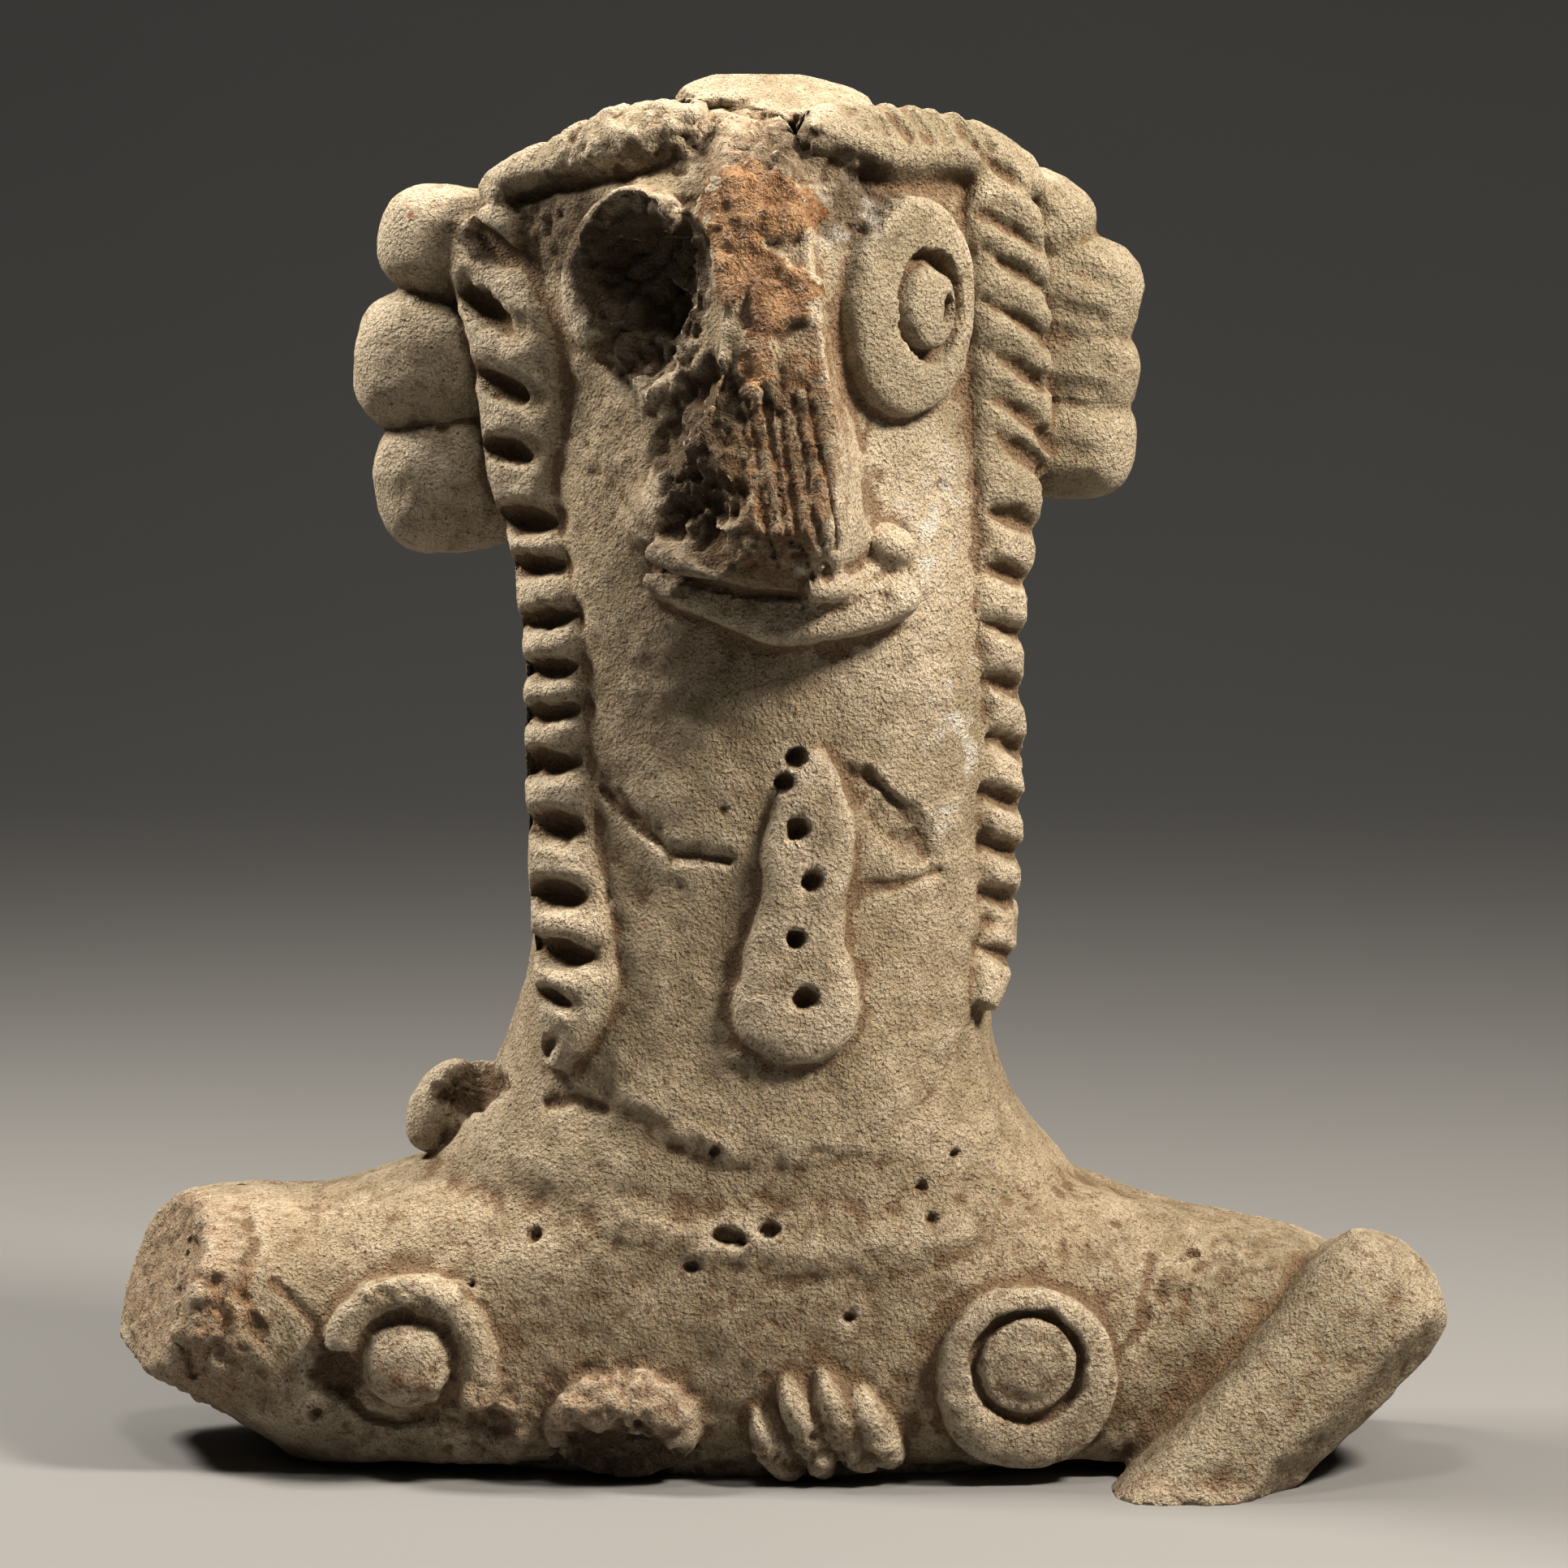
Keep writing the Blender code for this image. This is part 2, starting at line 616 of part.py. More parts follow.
def lay_breasts(clay):
    """A whole ringed breast on the right, and on the left one whose ring is half gone."""
    z_up = Vector((0, 0, 1))
    left, left_out = breast_seat(clay, LEFT_BREAST)
    right, right_out = breast_seat(clay, RIGHT_BREAST)
    middle = right + z_up * NIPPLE_RISE
    return [
        ring("left breast rim", left, left_out, z_up, BREAST_DIAMETER, RIM_WIDTH,
             BREAST_THICKNESS, -25.0, 185.0),
        pellet("left breast", left, left_out, z_up, NIPPLE_DIAMETER, 0.93 * NIPPLE_DIAMETER,
               1.15 * NIPPLE_HEIGHT),
        pellet("right breast disc", right, right_out, z_up, BREAST_DIAMETER, BREAST_DIAMETER,
               BREAST_THICKNESS, 5.0),
        pellet("right breast", middle, right_out, z_up, NIPPLE_DIAMETER, 0.9 * NIPPLE_DIAMETER,
               NIPPLE_HEIGHT, 3.0),
    ]


def lay_curls():
    """Curls of hair on both sides of the head."""
    made = []
    for x, z, half_width, half_height, tilt in CURLS:
        angle = math.radians(tilt)
        middle = Vector((x * ACROSS, CURL_BACK * DEEP, z * UP))
        rise = Vector((-math.sin(angle), 0, math.cos(angle)))
        made.append(pellet("curl", middle, Vector((0, -1, 0)), rise, 2 * half_width * ACROSS,
                           2 * half_height * UP, CURL_DEPTH / 2, 2.5, 2.7))
    return made


def lay_fingers(clay):
    """Fingers of the hand laid on the chest, each a short roll."""
    made = []
    for top_x, top_z, low_x, low_z in FINGERS:
        middle_x, middle_z = (top_x + low_x) / 2, (top_z + low_z) / 2
        seat, out = clay.soft_seat(middle_x * SPAN, middle_z * UP, 2.0 * UP)
        run = Vector(((top_x - low_x) * SPAN, 0, (top_z - low_z) * UP))
        made.append(pellet("finger", seat, out, run, FINGER_WIDTH, run.length + FINGER_WIDTH,
                           FINGER_HEIGHT, 2.4))
    return made


def lug_piece(name, across, depth, height, width, length, half_depth):
    """One lump of the lug, leaning towards the neck."""
    middle = Vector((across * ACROSS, depth * DEEP, height * UP))
    return pellet(name, middle, Vector((0, -1, 0)), Vector((0.5, 0, 1)), width * ACROSS,
                  length * UP, half_depth * DEEP)


def lay_lumps(clay):
    """Crown slab, lip nub, the broken knob on the chest and the lug on the shoulder."""
    z_up = Vector((0, 0, 1))
    top = HEIGHT - CROWN_SINK * CROWN_THICKNESS
    crown = Vector((CROWN[0] * ACROSS, CROWN[1] * DEEP, top))
    tilt = Vector(CROWN_FACING).normalized()
    nub, nub_out = clay.soft_seat(NUB[0] * ACROSS, NUB[1] * UP, LIP_WIDTH / 3)
    x, z, half_width, half_height = KNOB
    knob, knob_out = clay.soft_seat(x * SPAN, z * UP, 2.0 * UP)
    return [
        pellet("crown", crown, tilt, Vector((0, 1, 0)), CROWN_LENGTH, 0.72 * CROWN_LENGTH,
               CROWN_THICKNESS / 2, 3.0),
        pellet("lip nub", nub, nub_out, z_up, LIP_WIDTH, LIP_WIDTH, LIP_THICKNESS, 2.0),
        pellet("knob", knob, knob_out, z_up, 2 * half_width * SPAN, 2 * half_height * UP,
               FINGER_HEIGHT, 2.6),
        lug_piece("lug", *LUG),
        lug_piece("lug root", *LUG_ROOT),
    ]


def press_marks(clay, body):
    """Notches, grooves, rings, holes and layer edges."""
    points, normals = read_mesh(body)
    for collar in COLLARS:
        ledge(points, normals, *collar)
    rope_marks(clay, points, normals, LEFT_TRESS, LEFT_NOTCHES, -26.0, 0.0, NOTCH_LENGTH)
    rope_marks(clay, points, normals, RIGHT_TRESS, RIGHT_NOTCHES, -26.0, -4.0, 1.2 * NOTCH_LENGTH)
    for x, z, tilt in CURL_GROOVES:
        angle = math.radians(tilt)
        lie = (math.cos(angle), 0, math.sin(angle))
        middle = Vector((x * ACROSS, 0, z * UP))
        front = Vector((0.35, -0.94, 0))
        stamp(points, normals, middle, front, lie, NOTCH_LENGTH, GROOVE_WIDTH, 0.7 * GROOVE_DEPTH)
    for x, z in BAND_GROOVES:
        point, out = clay.soft_seat(x * ACROSS, z * UP - BAND_WIDTH / 4, 1.0 * UP)
        stamp(points, normals, point, out, (0.55, 0, -0.8), BAND_WIDTH, GROOVE_WIDTH, GROOVE_DEPTH)
    for x, z in PENDANT_HOLES:
        point, out = clay.soft_seat(x * ACROSS, z * UP, 1.0 * UP)
        stamp(points, normals, point, out, (1, 0, 0), 0, AWL_DIAMETER, AWL_DEPTH, 0.7)
    socket, out = socket_seat(clay)
    stamp(points, normals, socket, out, (0.1, 0, 1), EYE_DIAMETER, 0.8 * EYE_DIAMETER,
          SOCKET_DEPTH, 0.5)
    stamp(points, normals, socket, out, (1, 0, 0), 0, 1.5 * AWL_DIAMETER, AWL_DEPTH)
    eye, out, lean = eye_seat(clay)
    hole = eye + sideways(out, lean, PUPIL_SHIFT + PUPIL_DIAMETER / 5)
    stamp(points, normals, hole, out, lean, 0, AWL_DIAMETER, AWL_DEPTH)
    pupil = eye + sideways(out, lean, PUPIL_SHIFT)
    ring_groove(points, normals, pupil, out, PUPIL_DIAMETER)
    breast, out = breast_seat(clay, RIGHT_BREAST)
    ring_groove(points, normals, breast + Vector((0, 0, NIPPLE_RISE)), out, NIPPLE_DIAMETER)
    write_mesh(body, points)


def thin_out(body):
    """Bring the skin down to the triangle budget, finest where it curves most."""
    body.data.calc_loop_triangles()
    cut = body.modifiers.new("thin", "DECIMATE")
    cut.ratio = TRIANGLES / len(body.data.loop_triangles)
    bake(body)


def break_off(body, cutters):
    """Cut the underside flat, where the idol broke off and now stands."""
    size = 4.0 * max(SHOULDER_SPAN, CHEST_DEPTH)
    bpy.ops.mesh.primitive_cube_add(size=size, location=(0, 0, -size / 2))
    block = bpy.context.object
    block.name = "underside cutter"
    block.hide_render = True
    block.display_type = "WIRE"
    for home in block.users_collection:
        home.objects.unlink(block)
    cutters.objects.link(block)
    cut = body.modifiers.new("underside", "BOOLEAN")
    cut.operation = "DIFFERENCE"
    cut.solver = "EXACT"
    cut.object = block
    bake(body)


def fired_clay():
    """Pale greenish-buff earthenware."""
    made = bpy.data.materials.new("fired clay")
    made.use_nodes = True
    shader = made.node_tree.nodes["Principled BSDF"]
    shader.inputs["Base Color"].default_value = (0.42, 0.32, 0.20, 1.0)
    shader.inputs["Roughness"].default_value = 0.9
    shader.inputs["Metallic"].default_value = 0.0
    return made


clear_scene()
FIGURE = collection("terracotta bust")
CUTTERS = collection("cutters")
WORKSHOP = FIGURE

core = build_core()
surface = Clay(core)
added = lay_strips(surface) + lay_eyes(surface) + lay_breasts(surface)
added += lay_fingers(surface) + lay_curls() + lay_lumps(surface)
bust = fuse([core] + added, FINE_GRAIN, 2)
bust.name = "bust"
press_marks(surface, bust)
thin_out(bust)
break_off(bust, CUTTERS)
bust.data.name = "bust"
bust.data.materials.clear()
bust.data.materials.append(fired_clay())
bust.data.shade_smooth()
bust.data.set_sharp_from_angle(angle=math.radians(50))
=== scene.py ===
"""The dressed bust: a weathered clay skin over the solid, its fired clay, a pale floor and light.

The skin grows from the same forms as the solid, at a finer grain, and then takes the marks of
the tools, the breaks and the wear. Shapes are worked in millimetres and end up in metres.
"""

from math import copysign, cos, pi, radians, sin

import bmesh
import bpy
import numpy as np
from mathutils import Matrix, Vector
from mathutils.bvhtree import BVHTree


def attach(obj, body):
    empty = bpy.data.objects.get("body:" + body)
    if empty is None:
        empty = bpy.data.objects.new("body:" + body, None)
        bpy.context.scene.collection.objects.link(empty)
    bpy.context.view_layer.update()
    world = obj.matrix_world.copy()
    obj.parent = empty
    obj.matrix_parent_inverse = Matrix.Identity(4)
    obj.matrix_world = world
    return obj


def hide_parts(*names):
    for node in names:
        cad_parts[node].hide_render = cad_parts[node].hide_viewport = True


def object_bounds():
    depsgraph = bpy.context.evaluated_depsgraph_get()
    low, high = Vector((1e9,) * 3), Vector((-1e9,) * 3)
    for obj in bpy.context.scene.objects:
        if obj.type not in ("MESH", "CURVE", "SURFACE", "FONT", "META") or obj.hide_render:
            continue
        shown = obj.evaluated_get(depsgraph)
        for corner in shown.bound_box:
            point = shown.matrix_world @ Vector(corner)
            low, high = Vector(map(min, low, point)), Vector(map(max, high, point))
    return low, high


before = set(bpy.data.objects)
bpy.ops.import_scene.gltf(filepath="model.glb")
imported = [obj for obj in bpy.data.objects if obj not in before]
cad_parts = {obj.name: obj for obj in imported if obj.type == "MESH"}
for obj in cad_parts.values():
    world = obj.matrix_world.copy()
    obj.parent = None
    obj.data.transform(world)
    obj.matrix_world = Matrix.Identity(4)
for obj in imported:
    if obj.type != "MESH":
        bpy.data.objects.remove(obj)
cad_low, cad_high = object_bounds()

# Sizes of the clay forms
ARM_WIDTH, ARM_DEPTH = 10.4, 11
NOSE_WIDTH, NOSE_RELIEF = 11.8, 20.5
HIGH_FLARE, LOW_FLARE = 0.3, 0.95
BAND_WIDTH, BAND_THICKNESS = 4.6, 2.2
TRESS_WIDTH, TRESS_THICKNESS = 7, 2.6
LIP_WIDTH, LIP_THICKNESS, LIP_ROLL = 3.5, 2.5, 22
PENDANT_WIDTH, PENDANT_THICKNESS = 9, 1.6
FINGER_WIDTH, FINGER_HEIGHT = 2.7, 2.3
EYE_DIAMETER, EYE_THICKNESS = 14.6, 1.9
PUPIL_DIAMETER, PUPIL_HEIGHT = 5.7, 0.7
BREAST_DIAMETER, BREAST_THICKNESS = 12.8, 1.7
NIPPLE_DIAMETER, NIPPLE_HEIGHT = 6.6, 2.1
CROWN_LENGTH, CROWN_THICKNESS = 14.5, 3.6
CURL_DEPTH = 10.5
RIM_WIDTH, AWL_DIAMETER = 2.6, 1.5
RING_GROOVE_WIDTH, RING_GROOVE_DEPTH = 1.2, 1.35

# Eye disc and pupil as shares of their diameters, and the arcs of the rims in degrees
EYE_ACROSS, EYE_UPRIGHT, PUPIL_ACROSS = 0.81, 1.05, 0.84
SOCKET_RIM_ARC, BREAST_RIM_ARC = (50, 225), (-28, 170)

# Fineness of the clay surface, and about how many triangles the skin keeps
CORE_GRAIN, FINE_GRAIN, TRIANGLES = 0.5, 0.3, 192000

# Neck and head: height, half width left and right, front, back, roundness of the front
COLUMN = (
    (-3, 24, 22, 11.5, 10.5, 2.4), (14, 25, 23.8, 13.5, 11.5, 2.4),
    (20, 25.2, 21.8, 14.2, 11.5, 2.4), (24, 22.2, 18.6, 14.2, 11.4, 2.4),
    (28, 19.8, 16.5, 13.8, 11.2, 2.4), (34, 17.8, 15.8, 13.2, 11, 2.4),
    (48, 17, 15.9, 12.8, 10.8, 2.3), (58, 16.8, 16.2, 13.2, 10.5, 2),
    (66, 17.6, 17.2, 15, 10.5, 1.5), (74, 18.8, 18.2, 17.4, 10.5, 1.12),
    (84, 20.4, 19, 18.4, 10, 1.05), (89, 20.4, 19, 17.2, 9.2, 1.1),
    (92.4, 18.2, 17.4, 14, 7.6, 1.25), (95, 13.6, 13.6, 9.4, 5.8, 1.7),
    (96.4, 7, 7, 5.5, 3.5, 2),
)

# Trunk: distance across, top, bottom, front, back
TRUNK = (
    (-50, 13, 8.6, 9, 4), (-46, 16.4, 6.6, 10.5, 6),
    (-42, 18.4, 4.6, 12, 7.5), (-38, 19, 2.2, 12.8, 8.5),
    (-33, 18.8, -1, 13, 9.5), (-27, 20.4, -3, 13.6, 10.5),
    (-20, 22, -4, 14.4, 11.3), (-10, 26, -4, 15.2, 12),
    (0, 27, -4, 15.5, 12), (10, 25.2, -4, 15.2, 12),
    (18, 21.5, -4, 14.4, 11.3), (26, 18.5, -4, 13.4, 10.5),
    (34, 16.5, -3, 12.5, 9), (40, 14.8, -0.5, 11, 7.5),
    (43, 12.2, 3, 8, 5), (44, 10.5, 6, 5, 2.5),
)

# Breaks and worn flats, each a point of it and the way it faces
ARM_FLAT = ((39.4, -17.5, 6), (0.65, -0.58, -0.44))
STUB = ((-43.4, -2, 15), (-0.88, -0.32, 0.36))
EDGE_BREAK = ((0, -5.6, 0), (0, -0.16, -0.987))
NOSE_BREAK = ((-2, -20.2, 71), (-0.64, -0.74, -0.22))
RIDGE_FLAT = ((1, -17.2, 82), (-0.16, -1, 0.217))

# Nose: height, middle, share of its width, front as a share of its relief
NOSE = (
    (96, -1.4, 0.34, 0.44), (93, -1.2, 0.4, 0.72),
    (88, -0.6, 0.48, 0.92), (80, 0.2, 0.58, 1),
    (73, -0.3, 0.84, 1.03), (69.4, -1.2, 0.96, 1.03),
    (66.6, -1.3, 0.98, 1), (64.9, -0.7, 0.86, 0.94),
    (63.4, 0.4, 0.62, 0.84), (62.4, 0.6, 0.4, 0.74),
)

# Right arm: distance across, height and depth of its middle, share of its width and of its depth
ARM = (
    (46.2, 15, -8.6, 0.3, 0.35), (45.2, 14.4, -9.2, 0.72, 0.75),
    (43.6, 12.9, -9.8, 0.97, 0.97), (40, 9.2, -11.5, 1, 1),
    (34.8, 4.4, -14, 0.9, 1), (29.1, -1, -16, 0.85, 0.98),
    (25, -5.2, -17.5, 0.85, 0.95),
)
ARM_SLOPE = (0.718, 0, -0.696)

# Strips on the head and neck: distance across, height, share of the strip's width
LEFT_TRESS = (
    (-22, 89.4, 0.44), (-20.9, 87, 0.78), (-19.4, 83.6, 0.92), (-17.8, 80, 1.06),
    (-17.1, 75, 1.1), (-17.1, 70, 0.92), (-16.4, 66.5, 0.7), (-15.7, 63, 0.7),
    (-14.9, 58, 0.76), (-14.7, 50, 0.8), (-14.3, 44, 0.86), (-13.7, 38, 0.92),
    (-13.5, 34.5, 0.92), (-14.2, 31.4, 0.66), (-15, 28.8, 0.3),
)
RIGHT_TRESS = (
    (15.2, 92.2, 0.58), (15.6, 90, 0.84), (16.1, 86, 0.94), (16.4, 81, 1),
    (16.5, 76, 1.06), (16.5, 71, 1.02), (16.1, 66, 0.82), (15.7, 62, 0.7),
    (15.8, 54, 0.68), (16, 46, 0.68), (15.7, 39, 0.64), (15.1, 35, 0.56),
    (14.6, 32.6, 0.32),
)
LEFT_BAND = (
    (-4.6, 94.6, 0.86), (-8.6, 94, 1.06), (-12.4, 93.3, 0.9), (-16.4, 91.9, 0.62),
    (-20.4, 90.2, 0.42),
)
RIGHT_BAND = (
    (2.2, 93.6, 0.7), (4.4, 93.7, 1.06), (8, 93.5, 1.28), (12, 93.5, 1.12),
    (15.6, 92.5, 0.84), (18.6, 90.8, 0.6),
)
LOWER_LIP = (
    (-8.4, 63.1, 0.3), (-6.6, 62.6, 0.64), (-3.6, 61.9, 0.86), (-0.6, 60.8, 0.98),
    (2, 60.7, 1.08), (5.4, 61.2, 1.12), (8, 61.8, 1.02), (9.2, 62.1, 0.86),
)
LIP_BRIDGE = ((2.4, 63.3, 0.5), (5.2, 63.5, 0.66), (7.8, 64.3, 0.55))
UPPER_LIP = ((-7.8, 65.9, 0.4), (-6.2, 65.4, 0.56), (-4.4, 64.8, 0.5), (-2.8, 64.3, 0.3))
PENDANT = (
    (2.9, 51.6, 0.16), (2.9, 50, 0.46), (3, 47.5, 0.62), (2.7, 44, 0.71),
    (2.3, 40.6, 0.66), (1.8, 38, 0.78), (1.8, 35.2, 0.96), (1.8, 32.8, 0.98),
    (1.9, 30.8, 0.7), (1.9, 29.8, 0.34),
)

# Curls beside the head: middle across, height, half width and half height, tilt in degrees
CURLS = (
    (-22.8, 86.8, 5.6, 4.2, -14), (-24.2, 78.2, 6, 5.3, -4),
    (-22.9, 69.9, 5.9, 5.2, 8), (19.6, 88.4, 3.7, 3.8, -32),
    (21.4, 83, 5.3, 5, -20), (21.5, 78, 5.1, 3.7, -10),
    (21.2, 72.5, 5.2, 4.2, -4),
)

# The stick's notches down the left tress: across, height, tilt in degrees, length and width
LEFT_NOTCHES = (
    (-21.3, 87, -36, 4.6, 1.7), (-19.6, 82.1, -32, 5.4, 2.1), (-18.3, 76.8, -25, 5, 1.9),
    (-17.9, 72.2, -12, 3.8, 1.7), (-16.8, 67.2, -4, 4.4, 2.1), (-16.1, 64, 2, 4, 1.9),
    (-15.4, 60.3, 8, 4.6, 1.9), (-15.3, 56.8, 4, 4.5, 1.9), (-15.1, 53.8, 6, 4.4, 1.6),
    (-15.2, 50.2, 4, 4.5, 2), (-14.8, 45.9, -3, 4.8, 2.1), (-14.4, 41.1, -3, 4.6, 2.1),
    (-14, 37, -8, 5, 2), (-14.4, 33.9, -16, 2.8, 1.2), (-15.1, 30.3, 60, 1.8, 0.9),
)

# Heights of the grooves on the broad part and of the notches on the thin part of the right tress
RIGHT_GROOVES = (91, 87.6, 84.6, 81.4, 77.6, 74.6, 71.4)
RIGHT_NOTCHES = (67.2, 63.4, 59.4, 55.4, 51, 47.2, 43.8, 40.2, 36.3)

# Layer edges at the base of the neck: middle, lowest point, rise to the left and to the right for
# each millimetre squared, reach and step
COLLARS = (
    (0.6, 22, 0.034, 0.046, 17, 0.7), (2, 14.9, 0.015, 0.011, 24, 0.75),
)

# Places of the eyes and breasts, across and in height
EYE, SOCKET = (9.2, 82.4), (-8.8, 83.6)
LEFT_BREAST, RIGHT_BREAST = (-25.4, 8.6), (17.8, 7.7)
PUPIL_SHIFT, NIPPLE_RISE = 0.9, 1

# Crown slab, lip nub, lug on the left shoulder, broken knob and the ends of the four fingers
CROWN = (0.3, -4.2, 95.92)
NUB = (8, 65.5)
CURL_BACK = 4.4
LUGS = ((-23.7, -0.8, 24.9, 4.6, 6.8, 3), (-21, 0.2, 24.6, 6.4, 6.2, 3.4))
KNOB = (-10.4, 4.3, 5.4, 4)
FINGERS = (
    (-0.5, 4.6, 1.1, 1.2), (1.4, 6.8, 3.5, 1.6),
    (3.9, 7.4, 6.1, 2), (6.3, 6.2, 8.2, 2.4),
)

# Two strokes that make one notch of the stick: step across, length, width and depth as shares of
# the notch's, bluntness, raggedness, and whether the tip is a lens
NOTCH_STROKES = ((0.4, 1.5, 1.6, 0.32, 1.2, 0.2, False), (0, 1.18, 1.15, 0.95, 0.8, 0.25, True))

# Hollows in the empty socket: across and up from its middle, length and width as shares of the
# eye, depth, bluntness
SOCKET_HOLLOWS = ((0.3, 1.5, 0.7, 0.62, 2.6, 0.5), (0.5, -3, 0.52, 0.4, 1.5, 0.6))

# Marks on the head and the pendant: across and height, and for the curls also turn and length
AWL_HOLES = ((1.6, 51), (1, 49.3), (1.8, 46), (2.6, 42.4), (1.7, 38.4), (2.3, 34.2))
BAND_DABS = ((-15.2, 92.8), (-13.9, 93.4), (-12.3, 93.8), (-9.4, 94.6), (-7.4, 95))
CURL_GROOVES = (
    (20.8, 89.8, -22, 3.8), (23.6, 85.1, -18, 4.4), (23.8, 82.3, -14, 4.8), (23.9, 78.9, -14, 5),
    (23.4, 76, -6, 5.6), (23.6, 72, -12, 4.8), (22.2, 70.3, 70, 2), (24, 70.2, 60, 2),
)

# Grooves and cracks: places that each one runs through, then width, depth, bluntness, raggedness
LIP_FACE = (
    ((-5.5, 62), (-3, 61.4), (-0.6, 60.6), (2, 60.5), (5.4, 61), (7.6, 61.5)),
    2.7, 0.4, 0.6, 0.15,
)
MOUTH = (((-7.2, 63.9), (-4.8, 63.3), (-1.8, 62.7), (1.4, 62.6)), 0.8, 0.35, 0.4, 0.3)
BAND_EDGE = (((-17.4, 90.3), (-14, 91.2), (-9.4, 91.5), (-6.2, 92.1)), 1.6, 0.5, 0.8, 0.6)
CROWN_EDGE = (
    ((-6.9, 96.9), (-5.2, 96.2), (-3.4, 96.4), (-1.4, 95.7), (0.4, 95.3)), 1.1, 1.3, 0.8, 0.7,
)
NECK_CRACKS = (
    (((6.6, 49.8), (8.6, 48), (10.4, 45.8), (10.7, 44.2)), 1.2, 0.42, 1, 0.9),
    (((6.1, 41.6), (9, 42), (11.7, 42.8)), 1.2, 0.35, 1, 0.9),
    (((-11.7, 48.5), (-9.1, 46.2), (-6.8, 44.2), (-5, 44.2), (-3.1, 43.9)), 1.3, 0.6, 1, 1),
    (((-15.6, 26.3), (-13.8, 26.8), (-11.8, 26.3)), 1.2, 0.4, 1, 0.8),
)
LEFT_BREAST_CRACK = (((-30.2, 6.4), (-28.6, 4.7), (-26.2, 4.1), (-23.8, 4.9)), 1.4, 0.7, 1, 0.5)
SHOULDER_CRACKS = (
    (((-41.2, 15.6), (-41.6, 12.4), (-41.2, 9.6), (-40.8, 7.4)), 1.3, 0.8, 0.8, 0.6),
    (((-34.9, 13.8), (-33, 12), (-31.1, 9.8)), 1.2, 0.3),
    (((-39.6, 19.8), (-37.6, 18.3), (-36.6, 16.4), (-37.3, 13.4), (-35.8, 10.4)), 1.2, 0.4, 1, 0.6),
    (((26.8, 15.4), (26, 10.8), (24, 8.5)), 1, 0.25),
    (((-24, 26.4), (-23.4, 24.6), (-23.6, 22.6)), 0.9, 0.4),
)

# Breaks, chips and crumbled places: across, height, half width and half height, turn in degrees,
# depth and roughness, then softness and raggedness of the rim where they aren't the usual ones
NOSE_BREAKS = (
    (-4.4, 72.2, 3.3, 6.6, -12, 0.6, 0.6), (-5.2, 68.4, 2.8, 2.6, 0, 0.3, 0.55),
    (1.2, 73, 3.6, 8, -10, 0.05, 0.2, 0.3, 0.3),
)
HEAD_BREAKS = (
    (-0.8, 65.2, 5, 1.6, -12, 0.3, 0.35), (-5.6, 91, 1.2, 4.6, 0, 0.1, 0.5, 0.5),
    (-9.4, 94.2, 7, 2.2, 14, 0, 0.45, 0.3), (-0.8, 94.2, 3.6, 1.8, 0, 0, 0.45, 0.3),
    (5, 89.8, 3.8, 3, -10, 0.4, 0.55), (-10.2, 89.2, 2.4, 0.9, 20, 0.35, 0.3),
    (-8.4, 82, 4.2, 6, 0, 0.1, 0.8), (-14.6, 87.2, 3.4, 3, 0, 0.1, 0.35),
    (-10.6, 72, 3.2, 6, 0, 0, 0.22, 0.5), (1, 92.6, 3, 2.4, 0, 0.1, 0.4),
    (-6, 65.6, 2.6, 1.2, -14, 0, 0.15, 0.4), (8.4, 46.6, 1.4, 4.3, 40, 0.55, 0.18, 0.5),
)
CHEST_HOLES = (
    (-2.9, 17.6, 1.3, 0.75, -12, 1, 0.3, 0.12), (-0.2, 18.2, 0.7, 0.55, 0, 0.9, 0.2, 0.15),
)
LEFT_BREAST_GAP = (-30.8, 7.6, 1.3, 1.7, 10, 1.3, 0.4, 0.5, 0.7)
TRUNK_BREAKS = (
    (-25.4, 13.4, 4.8, 1.6, 0, 0, 0.3, 0.5), (-20.4, 5, 3.4, 3.6, 40, -0.35, 0.6, 0.5),
    (-19.8, 4.2, 1.5, 1.1, -40, 0.8, 0.5, 0.4), (-10.6, 1.9, 4, 2.5, -6, 1.6, 0.5, 0.25, 0.5),
    (-10.6, 6.4, 4.8, 2.2, -6, -0.1, 0.5, 0.4), (3.8, 2.6, 4.8, 1.6, 0, 0.1, 0.5),
    (31, 13.6, 4.8, 1.7, 16, 0.1, 0.3, 0.5, 0.6), (-42.2, 12.4, 5.8, 8.6, 12, 0, 0.32, 0.15, 0.3),
    (-38.4, 11, 3, 4, 24, -0.6, 0.22, 0.5), (-21.2, 26.4, 2.1, 1.5, 30, 1.3, 0.5, 0.3, 0.6),
)

# Single pits of the chest: across, height, size
PITS = (
    (-5.5, 15.6, 0.9), (-16.6, 17.5, 1), (12.9, 23, 0.7), (10.5, 20.8, 0.7), (11.2, 18.6, 0.8),
    (-3.9, 23.6, 0.8), (-32.1, 4.6, 1.2), (-9.4, 3.9, 1.3), (23, 19, 0.6), (30, 15.6, 0.6),
    (-21, 14, 0.6), (5.5, 12, 0.7),
)

# Unevenness, each layer with its height, wavelength and seed: of torn edges, of broken floors, and
# the swells and sandy grain all over
RAG = ((0.6, 1.7, 3), (0.4, 0.7, 4))
GRIT = ((0.6, 0.9, 5), (0.4, 0.45, 6))
SWELLS = ((0.22, 8, 11), (0.16, 3.4, 12))
GRAIN = ((0.1, 1.5, 13), (0.08, 0.8, 14))

# Pores: spacing, share of the places used, least and greatest radius, depth for the radius; and the
# height up to which the lower edge is ragged
PORE_SPACING, PORE_SHARE, PORE_RADII, PORE_DEPTH = 4.3, 0.25, (0.22, 0.62), 0.55
BREAK_EDGE_HEIGHT = 3.2

